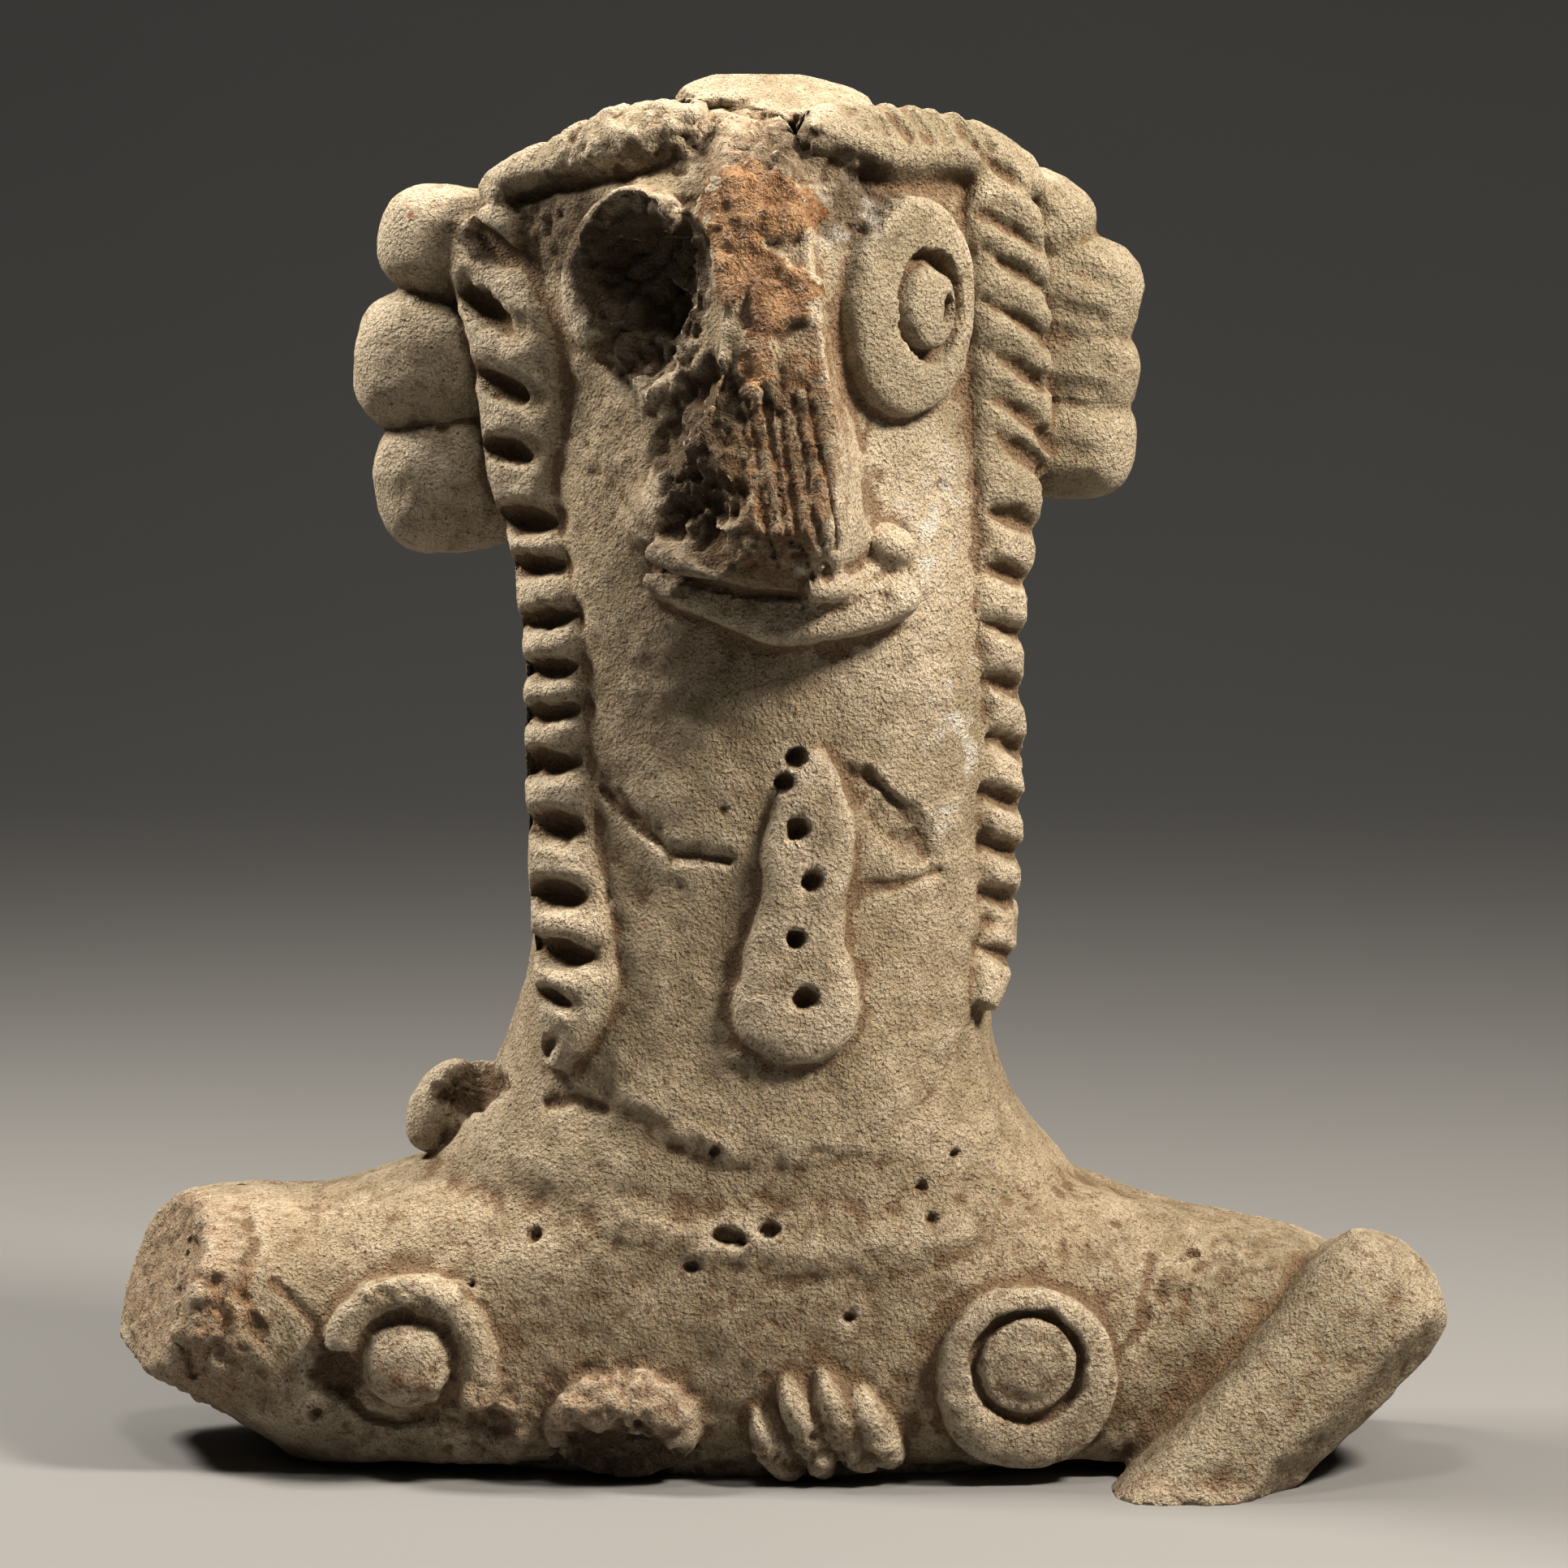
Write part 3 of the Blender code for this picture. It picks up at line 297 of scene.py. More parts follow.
# Patches of paint on the front: strength, across, height, half width and half height, turn in
# degrees, softness and raggedness of the rim
PATCHES = {
    "glue": (
        (1, -0.9, 88.8, 4, 2.9, -8, 0.12, 0.55), (1, 0.5, 83, 2.7, 3, -14, 0.12, 0.5),
        (0.8, -2.6, 84.6, 1.5, 3, 10, 0.2, 0.5), (0.7, -0.9, 78.4, 1.3, 3.2, -6, 0.3, 0.5),
    ),
    # Painted highlight: paler clay over the right cheek and the right of the neck, where the key
    # light falls
    "wear_and_highlight": ((0.8, 8.2, 65, 5.4, 11, 0, 0.5, 0.4),),
    # Soot on breaks, and painted shade: the left side of the nose, under the nose, left of the
    # mouth, the left cheek and neck, the empty socket, the left temple, under both bands and in the
    # first notch of the left tress
    "soot_and_shade": (
        (1, -4.6, 73, 3.6, 7.4, -12, 0.5, 0.5), (0.72, 1, 70.6, 4.2, 9.8, -10, 0.3, 0.3),
        (0.7, -1.6, 65, 4.6, 2.2, -12, 0.3, 0.3), (1.7, -8.6, 83.8, 4.4, 5.4, 0, 0.35, 0.3),
        (0.85, 5.4, 89.6, 3.8, 3.2, -10, 0.5, 0.6), (0.95, -14.6, 87.6, 4.4, 3.6, -30, 0.5, 0.6),
        (0.55, -10.4, 67, 3.4, 9, 0, 0.6, 0.5), (0.6, -21.2, 26.6, 2.2, 1.6, 30, 0.4, 0.6),
        (0.6, -7.4, 93.2, 4, 1.8, 14, 0.5, 0.7), (0.9, -10.4, 1.9, 4.6, 2.6, 0, 0.4, 0.6),
        (1, -21.2, 86.9, 2.2, 0.9, -36, 0.3, 0.3), (0.5, -9.4, 60, 4.2, 13, 0, 0.5, 0.5),
        (0.7, -6.8, 64.2, 2.8, 2.4, -10, 0.4, 0.4), (0.5, 31, 13.6, 4.8, 1.8, 16, 0.5, 0.8),
        (0.6, 8.8, 46.8, 3.2, 1.1, -53, 0.4, 0.5), (0.75, 1.4, 92.6, 4.2, 2.8, 0, 0.5, 0.8),
    ),
    "broken": (
        (1, -42.2, 12.4, 5.8, 8.6, 12, 0.15, 0.3), (1, -10.4, 5.4, 5.2, 3.2, 0, 0.3, 0.4),
        (1, -20, 5.4, 2.6, 3.4, 40, 0.3, 0.3), (0.9, -0.6, 92.8, 3.4, 3.4, 0, 0.4, 0.5),
    ),
    "stain": (
        (0.6, -38.4, 12.2, 2.2, 2.2, 0, 0.6, 0.6), (0.5, 1.2, 72, 3.6, 9, -10, 0.3, 0.3),
        (0.45, -25.6, 7.8, 2.4, 1.8, 0, 0.5, 0.8),
    ),
    # Painted shade: olive darkening over the eye disc, the right curls and tress, the right band
    # and the arm, where the key light falls strongest
    "olive_shade": (
        (1, 9.2, 82.4, 5.2, 8.2), (1, 20, 80, 7.2, 14),
        (1, 10, 93.6, 8.6, 3), (0.8, 37, 10, 12, 6.6, 44),
    ),
    "pale": (
        (1, 11.4, 66.5, 2, 5, 0, 0.6, 0.7), (1, 13, 52, 1.6, 6, 0, 0.6, 0.7),
        (0.7, 5, 88.6, 2.4, 2.8, 20, 0.6, 0.7),
    ),
}

# Colours of the clay and of what lies on it, with the painted shade and painted highlight colours
# among them
DARK_BUFF, BUFF = (0.305, 0.248, 0.16, 1), (0.39, 0.312, 0.21, 1)
# WORN_AND_LIT_CLAY is worn clay on ridges and also the painted highlight on the right cheek
PALE_BUFF, WORN_AND_LIT_CLAY = (0.5, 0.412, 0.295, 1), (0.64, 0.55, 0.425, 1)
# OLIVE_PAINTED_SHADE is the olive tone of the painted shade on the right side
OLIVE_PAINTED_SHADE, MOTTLE = (0.245, 0.212, 0.14, 1), (0.21, 0.15, 0.088, 1)
DARK_SOIL, PALE_SOIL = (0.115, 0.068, 0.036, 1), (0.31, 0.205, 0.122, 1)
RAW_CLAY = (0.4, 0.29, 0.2, 1)
# SOOT_AND_PAINTED_SHADE is soot and also the near-black painted shade
SOOT_AND_PAINTED_SHADE, RUST, SALT_WHITE = (0.07, 0.044, 0.024, 1), (0.42, 0.2, 0.075, 1), (0.62, 0.6, 0.55, 1)
DARK_SAND, PALE_SAND = (0.17, 0.12, 0.07, 1), (0.64, 0.55, 0.4, 1)
GRIT_SPECK, RED_SPECK = (0.13, 0.1, 0.07, 1), (0.36, 0.12, 0.06, 1)
DARK_RESIN, PALE_RESIN = (0.15, 0.062, 0.02, 1), (0.44, 0.26, 0.13, 1)
FLOOR_TONES = (0.2, 0.196, 0.19, 1), (0.21, 0.206, 0.2, 1)

# Stage, in metres: the floor's reach, where it bends up and how tightly, the back wall's top
FLOOR_REACH, FLOOR_BEND_START, FLOOR_BEND, WALL_TOP = 3, 0.5, 0.6, 2.6

# Lamps: name, place, size in metres, power in watts, colour; all of them aim at one point
LAMP_AIM = (0, 0, 0.055)
LAMPS = (
    ("key", (0.175, -0.095, 0.235), 0.05, 1.55, (1, 0.93, 0.84)),
    ("front", (-0.02, -0.12, 0.36), 0.06, 0.45, (1, 0.95, 0.88)),
    ("left", (-0.19, 0.03, 0.26), 0.06, 1.4, (1, 0.95, 0.88)),
    ("top", (0, 0.4, 1.6), 1.6, 7, (1, 0.98, 0.95)),
)
SURROUND, SURROUND_STRENGTH, PRINT_GAMMA = (0.8, 0.78, 0.75, 1), 0.04, 0.84

# Camera: focal length and film width in millimetres, height above the level in degrees, one
# pixel of the photo in metres at the object, the photo's width in pixels, and the point aimed at:
# pixels to the right of the axis and above the underside, metres to the front and down
FOCAL_LENGTH, FILM_WIDTH, CAMERA_LIFT = 120, 36, 5
PIXEL, PHOTO_PIXELS = 0.05698e-3, 1932
AIM_RIGHT, AIM_UP, AIM_FRONT, AIM_DROP = 16, 877, 0.01, 0.0021


def along(table, steps):
    """Read a table of stations smoothly, at even steps of its length."""
    rows = np.array(table, dtype=float)
    spans = np.linalg.norm(np.diff(rows[:, :2], axis=0), axis=1)
    marks = np.concatenate(([0], np.cumsum(spans)))
    slopes = np.gradient(rows, marks, axis=0)
    at = np.linspace(0, marks[-1], steps)
    left = np.clip(np.searchsorted(marks, at, side="right") - 1, 0, len(rows) - 2)
    gap = (marks[left + 1] - marks[left])[:, None]
    t = (at - marks[left])[:, None] / gap
    start = rows[left] * (1 + 2 * t) * (1 - t) ** 2 + slopes[left] * gap * t * (1 - t) ** 2
    end = rows[left + 1] * (3 - 2 * t) * t ** 2 + slopes[left + 1] * gap * (t - 1) * t ** 2
    return start + end


def put(name, data):
    """Put data into the scene as an object."""
    item = bpy.data.objects.new(name, data)
    bpy.context.scene.collection.objects.link(item)
    return item


def loft(name, rings):
    """Skin a closed solid over rings that have the same number of points."""
    bm = bmesh.new()
    made = [[bm.verts.new(point) for point in ring] for ring in rings]
    count = len(made[0])
    for low, high in zip(made, made[1:]):
        for i in range(count):
            j = (i + 1) % count
            bm.faces.new((low[i], low[j], high[j], high[i]))
    bm.faces.new(made[0])
    bm.faces.new(made[-1])
    bmesh.ops.recalc_face_normals(bm, faces=bm.faces)
    mesh = bpy.data.meshes.new(name)
    bm.to_mesh(mesh)
    bm.free()
    return put(name, mesh)


def oval(count, power):
    """Points of a rounded oblong of half size one, counter-clockwise from +X."""
    turns = np.linspace(0, 2 * pi, count, endpoint=False)
    c, s = np.cos(turns), np.sin(turns)
    return np.sign(c) * np.abs(c) ** (2 / power), np.sign(s) * np.abs(s) ** (2 / power)


def column():
    """Neck and head: a flattened pillar whose front narrows to a wedge at the face."""
    rings = []
    for z, left, right, front, back, power in along(COLUMN, 72):
        fx, fy = oval(96, power)
        bx, by = oval(96, 2.3)
        x = np.where(fy < 0, fx, bx)
        y = np.where(fy < 0, fy * front, by * back)
        rings.append([(a, b, z) for a, b in zip(x * np.where(x > 0, right, left), y)])
    return loft("neck and head", rings)


def trunk():
    """Chest and shoulders: a slab that thins out towards both shoulders."""
    rings = []
    for x, top, bottom, front, back in along(TRUNK, 90):
        a, b = oval(64, 2.6)
        y = np.where(a < 0, a * front, a * back)
        z = (top + bottom) / 2 + b * (top - bottom) / 2
        rings.append([(x, c, d) for c, d in zip(y, z)])
    return loft("trunk", rings)


def nose():
    """Beak: a blunt ridge down the whole face, widest at its lower end."""
    rings = []
    for z, middle, width, relief in along(NOSE, 40):
        a, b = oval(48, 5.5)
        front, back = -relief * NOSE_RELIEF, -4
        y = (front + back) / 2 + b * (back - front) / 2
        flare = np.interp(z, (66, 78), (LOW_FLARE, HIGH_FLARE))
        flare = 1 + flare * (y - front) / (back - front)
        rings.append([(c, d, z) for c, d in zip(middle + a * flare * width * NOSE_WIDTH / 2, y)])
    return loft("nose", rings)


def arm():
    """Right arm: a flattened roll that comes down and forward from the shoulder."""
    rings = []
    slope = Vector(ARM_SLOPE)
    for x, z, y, width, depth in along(ARM, 32):
        a, b = oval(48, 3.1)
        wide, deep = a * width * ARM_WIDTH / 2, b * depth * ARM_DEPTH / 2
        rings.append([Vector((x, y + d, z)) + slope * c for c, d in zip(wide, deep)])
    return loft("arm", rings)


def bake(item):
    """Keep an object's shape as its modifiers show it."""
    graph = bpy.context.evaluated_depsgraph_get()
    old = item.data
    item.data = bpy.data.meshes.new_from_object(item.evaluated_get(graph))
    item.modifiers.clear()
    bpy.data.meshes.remove(old)


def fuse(pieces, grain, passes):
    """Join pieces of clay into one skin and rub it smooth."""
    bpy.ops.object.select_all(action="DESELECT")
    for piece in pieces:
        piece.select_set(True)
    body = pieces[0]
    bpy.context.view_layer.objects.active = body
    bpy.ops.object.join()
    skin = body.modifiers.new("skin", "REMESH")
    skin.mode = "VOXEL"
    skin.voxel_size = grain
    rub = body.modifiers.new("rub", "SMOOTH")
    rub.factor = 0.5
    rub.iterations = passes
    bake(body)
    return body


class Clay:
    """The core's surface, to lay other pieces of clay on."""

    def __init__(self, body):
        self.tree = BVHTree.FromObject(body, bpy.context.evaluated_depsgraph_get())

    def seat(self, x, z):
        """The point of the surface that shows at x and z from the front, and its normal."""
        point, normal, _, _ = self.tree.ray_cast(Vector((x, -900, z)), Vector((0, 1, 0)))
        if point is None:
            point, normal, _, _ = self.tree.find_nearest(Vector((x, -3, z)))
        return point, normal

    def soft_seat(self, x, z, reach=1):
        """A seat whose normal is the mean of a patch, so that small bumps don't tilt it."""
        point, normal = self.seat(x, z)
        total = Vector(normal)
        for turn in range(8):
            angle = turn * pi / 4
            total += self.seat(x + reach * cos(angle), z + reach * sin(angle))[1]
        return point, total.normalized()


def strip(name, clay, table, width, thickness, power=2.5, facing=0, roll=0):
    """Lay a strip of clay along a route over the core, rolled about its own run."""
    stations = along(table, 7 * len(table))
    turn = radians(roll)
    seats = [clay.soft_seat(x, z, 0.25 * width) for x, z, _ in stations]
    points = [seat[0] for seat in seats]
    rings = []
    for i, (point, normal) in enumerate(seats):
        normal = (normal + Vector((0, -facing, 0))).normalized()
        ahead = points[min(i + 1, len(points) - 1)] - points[max(i - 1, 0)]
        flat = ahead.cross(normal).normalized()
        high = flat.cross(ahead).normalized()
        side = flat * cos(turn) + high * sin(turn)
        out = high * cos(turn) - flat * sin(turn)
        share = stations[i][2]
        a, b = oval(28, power)
        thick = thickness * min(1, 0.45 + 0.55 * share)
        wide = share * width / 2
        rings.append([point + side * (c * wide) + out * (d * thick) for c, d in zip(a, b)])
    return loft(name, rings)


def pellet(name, point, out, up, width, length, height, power=2.6, square=2.2):
    """Press a rounded pellet of clay on the core."""
    rings = []
    a, b = oval(40, square)
    side = up.cross(out).normalized()
    rise = out.cross(side).normalized()
    for step in range(1, 20):
        turn = -pi / 2 + pi * step / 20
        wide = cos(turn) ** (2 / power)
        high = copysign(abs(sin(turn)) ** (2 / power), turn)
        middle = point + out * high * height
        rings.append([
            middle + side * (c * wide * width / 2) + rise * (d * wide * length / 2)
            for c, d in zip(a, b)
        ])
    return loft(name, rings)


def ring(name, point, out, up, diameter, thickness, height, arc):
    """Press a part of a ring of clay on the core."""
    side = up.cross(out).normalized()
    rise = out.cross(side).normalized()
    a, b = oval(20, 2.4)
    rings = []
    for step in range(49):
        angle = radians(arc[0] + (arc[1] - arc[0]) * step / 48)
        toward = side * cos(angle) + rise * sin(angle)
        middle = point + toward * (diameter - thickness) / 2
        rings.append([
            middle + toward * (c * thickness / 2) + out * (d * height) for c, d in zip(a, b)
        ])
    return loft(name, rings)


def read_mesh(body):
    """The mesh's points and normals as arrays."""
    both = np.empty((2, 3 * len(body.data.vertices)))
    for row, name in zip(both, ("co", "normal")):
        body.data.vertices.foreach_get(name, row)
    return both.reshape(2, -1, 3)


def write_mesh(body, points):
    """Put the points back into the mesh."""
    body.data.vertices.foreach_set("co", points.ravel())
    body.data.update()


def scatter(cells, seed):
    """An even random number from 0 to 1 for every cell of a grid."""
    mixed = cells[:, 0] * 73856093 ^ cells[:, 1] * 19349663 ^ cells[:, 2] * 83492791
    mixed = mixed ^ (seed * 40503 + 977)
    mixed = ((mixed ^ (mixed >> 13)) * 1274126177) & 0xFFFFFFFF
    mixed = ((mixed ^ (mixed >> 15)) * 739982445) & 0xFFFFFFFF
    return (mixed ^ (mixed >> 16)) / 4294967295


def noise(points, size, seed):
    """A smooth random swell between -1 and 1, with waves of about the given size."""
    grid = points / size + seed * 7.31
    cell = np.floor(grid).astype(np.int64)
    part = grid - cell
    part = part * part * (3 - 2 * part)
    total = np.zeros(len(points))
    for corner in np.ndindex(2, 2, 2):
        share = np.where(corner, part, 1 - part).prod(axis=1)
        total += share * scatter(cell + np.array(corner), seed)
    return 2 * total - 1


def layers(points, rows):
    """Several random swells, one on another."""
    return sum(height * noise(points, size, seed) for height, size, seed in rows)


def pores(points, size, share, low, high, seed):
    """How deep each point lies in small round holes, one in some cells of a grid."""
    cell = np.floor(points / size).astype(np.int64)
    drop = np.zeros(len(points))
    for step in np.ndindex(3, 3, 3):
        home = cell + np.array(step) - 1
        shift = np.stack([scatter(home, seed + k) for k in (1, 2, 3)], axis=1)
        radius = low + (high - low) * scatter(home, seed + 4)
        reach = np.linalg.norm(points - (home + shift) * size, axis=1) / radius
        hole = radius * np.clip(1 - reach ** 2, 0, 1) ** 0.7
        drop = np.maximum(drop, np.where(scatter(home, seed) < share, hole, 0))
    return drop


class Skin:
    """The fused skin as arrays, to press, break and wear."""

    def __init__(self, body, clay):
        self.body = body
        self.clay = clay
        self.points, self.normals = read_mesh(body)
        self.rag = layers(self.points, RAG)
        self.grit = layers(self.points, GRIT)

    def refresh(self):
        """Read the normals again after the shape has changed."""
        write_mesh(self.body, self.points)
        self.points, self.normals = read_mesh(self.body)

    def press(self, centre, out, lie, length, width, depth, blunt=1, ragged=0.12, lens=False):
        """Push the clay in under a rounded oblong or lens-shaped tip that lies along a line."""
        out = np.array(out)
        lie = np.array(lie) - out * np.dot(lie, out)
        lie /= np.linalg.norm(lie)
        offset = self.points - np.array(centre)
        u = np.maximum(np.abs(offset @ lie) - max(length - width, 0) / 2, 0)
        if lens:
            u = (offset @ lie) * width / length
        v = offset @ np.cross(out, lie)
        reach = np.sqrt(u * u + v * v) / (width / 2) * (1 + ragged * self.rag)
        near = (reach < 1) & (np.abs(offset @ out) < 6) & (self.normals @ out > 0.1)
        self.points[near] -= np.outer(depth * (1 - reach[near] ** 2) ** blunt, out)

    def mark(self, x, z, turn, length, width, depth, blunt=1, ragged=0.2, push=None, lens=False):
        """Press a tip in at a place of the front, turned by an angle from the horizontal."""
        point, out = self.clay.soft_seat(x, z)
        out = out if push is None else Vector(push).normalized()
        angle = radians(turn)
        lie = (cos(angle), 0, sin(angle))
        self.press(point, out, lie, length, width, depth, blunt, ragged, lens)

    def line(self, places, width, depth, blunt=1, ragged=0.3, push=(0, -1, 0.1)):
        """Press a groove of even depth through places of the front."""
        reach = np.full(len(self.points), 99.0)
        for start, end in zip(np.array(places), np.array(places[1:])):
            offset = self.points[:, (0, 2)] - start
            share = np.clip(offset @ (end - start) / ((end - start) @ (end - start)), 0, 1)
            reach = np.minimum(reach, np.linalg.norm(offset - np.outer(share, end - start), axis=1))
        reach = reach / (width / 2) * (1 + ragged * self.rag)
        out = np.array(push) / np.linalg.norm(push)
        near = (reach < 1) & (self.normals @ out > 0.1) & (self.normals[:, 1] < 0.3)
        drop = depth * (1 - reach[near] ** 2) ** blunt * (1 + 0.8 * ragged * self.rag[near])
        self.points[near] -= np.outer(drop, out)

    def patch(self, x, z, half_x, half_z, turn=0, soft=0.3, ragged=0.25):
        """A ragged oval share of the front, one inside and none outside."""
        angle = radians(turn)
        a, b = self.points[:, 0] - x, self.points[:, 2] - z
        u = (a * cos(angle) + b * sin(angle)) / half_x
        v = (b * cos(angle) - a * sin(angle)) / half_z
        reach = np.sqrt(u * u + v * v) + ragged * self.rag
        inside = np.clip((1 + soft - reach) / (2 * soft), 0, 1)
        return inside * inside * (3 - 2 * inside) * (self.normals[:, 1] < -0.05)

    def patches(self, rows):
        """The strongest of several patches, each row with its strength first."""
        return np.max([strength * self.patch(*shape) for strength, *shape in rows], axis=0)

    def scar(self, x, z, half_x, half_z, turn, depth, rough, soft=0.2, ragged=0.25):
        """Break a patch of the front off, down to a rough floor."""
        inside = self.patch(x, z, half_x, half_z, turn, soft, ragged)
        drop = inside * (depth + 1.1 * rough * self.grit + 0.5 * rough * self.rag)
        self.points -= self.normals * drop[:, None]

    def scars(self, rows):
        """Break several patches off, one after another."""
        for row in rows:
            self.scar(*row)

    def ledge(self, middle, low, rise_left, rise_right, reach, step):
        """Raise the clay above a curved lower edge, so that one layer overlaps the next."""
        x = self.points[:, 0] - middle
        edge = low + np.where(x < 0, rise_left, rise_right) * x * x + 0.9 * self.rag
        above = self.points[:, 2] - edge
        lift = np.clip(above / 1.8, 0, 1) * np.exp(-np.maximum(above, 0) / 5)
        lift *= np.clip((reach - np.abs(x)) / (0.5 * reach), 0, 1) * (self.normals[:, 1] < -0.3)
        self.points[:, 1] -= step * lift

    def ring_groove(self, middle, out, inner, width, squeeze=1):
        """A groove pressed around a pellet, narrower across than upwards if it is squeezed."""
        out = np.array(out)
        offset = self.points - np.array(middle)
        high = offset @ out
        flat = offset - np.outer(high, out)
        across = np.cross((0, 0, 1), out)
        across /= np.linalg.norm(across)
        flat += np.outer((flat @ across) * (1 / squeeze - 1), across)
        radius = np.linalg.norm(flat, axis=1) + 0.16 * self.rag
        reach = np.abs(radius - (inner + width) / 2) / (width / 2) * (1 + 0.5 * self.rag)
        near = (reach < 1) & (np.abs(high) < 6) & (self.normals @ out > 0.2)
        depth = RING_GROOVE_DEPTH * width / RING_GROOVE_WIDTH
        self.points[near] -= np.outer(depth * (1 - reach[near] ** 2) ** 0.7, out)


def snap_off(body, *planes):
    """Break the clay off along planes, each a point of it and the way it faces."""
    for middle, facing in planes:
        points, _ = read_mesh(body)
        facing = np.array(facing) / np.linalg.norm(facing)
        beyond = np.maximum((points - np.array(middle)) @ facing, 0)
        write_mesh(body, points - np.outer(beyond, facing))
    return body


def build_core():
    """Grow the trunk, neck, head, nose and arm together."""
    chest = snap_off(trunk(), STUB, EDGE_BREAK)
    beak = snap_off(nose(), NOSE_BREAK)
    limb = snap_off(arm(), ARM_FLAT)
    return snap_off(fuse([chest, column(), beak, limb], CORE_GRAIN, 3), RIDGE_FLAT)


def eye_seat(clay):
    """Middle, facing and leaning of the right eye."""
    point, out = clay.soft_seat(*EYE, EYE_DIAMETER / 4)
    return point, out, Vector((0.12, 0, 1))


def sideways(out, lean, shift):
    """A step across a disc, to its own right."""
    return lean.cross(out).normalized() * shift


def lay_pieces(clay):
    """Strips, pellets, discs, curls and lumps laid on the core."""
    z_up = Vector((0, 0, 1))
    eye, eye_out, lean = eye_seat(clay)
    pupil = eye + sideways(eye_out, lean, PUPIL_SHIFT) + eye_out * EYE_THICKNESS
    socket, socket_out = clay.soft_seat(*SOCKET, EYE_DIAMETER / 4)
    left, left_out = clay.soft_seat(*LEFT_BREAST, BREAST_DIAMETER / 4)
    right, right_out = clay.soft_seat(*RIGHT_BREAST, BREAST_DIAMETER / 4)
    nub, nub_out = clay.soft_seat(*NUB)
    knob, knob_out = clay.soft_seat(KNOB[0], KNOB[1], 2)
    front = Vector((0, -1, 0))
    made = [
        strip("left tress", clay, LEFT_TRESS, TRESS_WIDTH, TRESS_THICKNESS, 2.5, 0.9),
        strip("right tress", clay, RIGHT_TRESS, TRESS_WIDTH, TRESS_THICKNESS, 2.9, 0.6),
        strip("left band", clay, LEFT_BAND, BAND_WIDTH, BAND_THICKNESS),
        strip("right band", clay, RIGHT_BAND, BAND_WIDTH, BAND_THICKNESS, 3.2),
        strip("lower lip", clay, LOWER_LIP, LIP_WIDTH, LIP_THICKNESS, 3.2, 0, LIP_ROLL),
        strip("upper lip", clay, UPPER_LIP, LIP_WIDTH, LIP_THICKNESS),
        strip("lip bridge", clay, LIP_BRIDGE, LIP_WIDTH, 0.7 * LIP_THICKNESS),
        strip("pendant", clay, PENDANT, PENDANT_WIDTH, PENDANT_THICKNESS, power=3.4),
        pellet("eye disc", eye, eye_out, lean, EYE_ACROSS * EYE_DIAMETER,
               EYE_UPRIGHT * EYE_DIAMETER, EYE_THICKNESS, 5),
        pellet("pupil", pupil, eye_out, lean, PUPIL_ACROSS * PUPIL_DIAMETER, PUPIL_DIAMETER,
               PUPIL_HEIGHT),
        ring("eye rim", socket, socket_out, z_up, 0.95 * EYE_DIAMETER, RIM_WIDTH, EYE_THICKNESS,
             SOCKET_RIM_ARC),
        ring("breast rim", left, left_out, z_up, BREAST_DIAMETER, 1.1 * RIM_WIDTH,
             BREAST_THICKNESS, BREAST_RIM_ARC),
        pellet("left breast", left, left_out, z_up, NIPPLE_DIAMETER, 0.93 * NIPPLE_DIAMETER,
               1.2 * NIPPLE_HEIGHT),
        pellet("right breast disc", right, right_out, z_up, BREAST_DIAMETER, BREAST_DIAMETER,
               BREAST_THICKNESS, 5),
        pellet("right breast", right + z_up * NIPPLE_RISE, right_out, z_up, NIPPLE_DIAMETER,
               0.9 * NIPPLE_DIAMETER, NIPPLE_HEIGHT, 3),
        pellet("crown", Vector(CROWN), Vector((0.04, -0.42, 1)).normalized(), Vector((0, 1, 0)),
               CROWN_LENGTH, 0.72 * CROWN_LENGTH, CROWN_THICKNESS / 2, 3),
        pellet("lip nub", nub, nub_out, z_up, LIP_WIDTH, LIP_WIDTH, LIP_THICKNESS, 2),
        pellet("knob", knob, knob_out, z_up, 2 * KNOB[2], 2 * KNOB[3], FINGER_HEIGHT, 2.6),
    ]
    for across, depth, height, width, length, half_depth in LUGS:
        made.append(pellet("lug", Vector((across, depth, height)), front, Vector((0.5, 0, 1)),
                           width, length, half_depth))
    for x, z, half_width, half_height, tilt in CURLS:
        angle = radians(tilt)
        rise = Vector((-sin(angle), 0, cos(angle)))
        made.append(pellet("curl", Vector((x, CURL_BACK, z)), front, rise, 2 * half_width,
                           2 * half_height, CURL_DEPTH / 2, 2.5, 2.7))
    for top_x, top_z, low_x, low_z in FINGERS:
        seat, out = clay.soft_seat((top_x + low_x) / 2, (top_z + low_z) / 2, 2)
        run = Vector((top_x - low_x, 0, top_z - low_z))
        made.append(pellet("finger", seat, out, run, FINGER_WIDTH, run.length + FINGER_WIDTH,
                           FINGER_HEIGHT, 2.4))
    return made


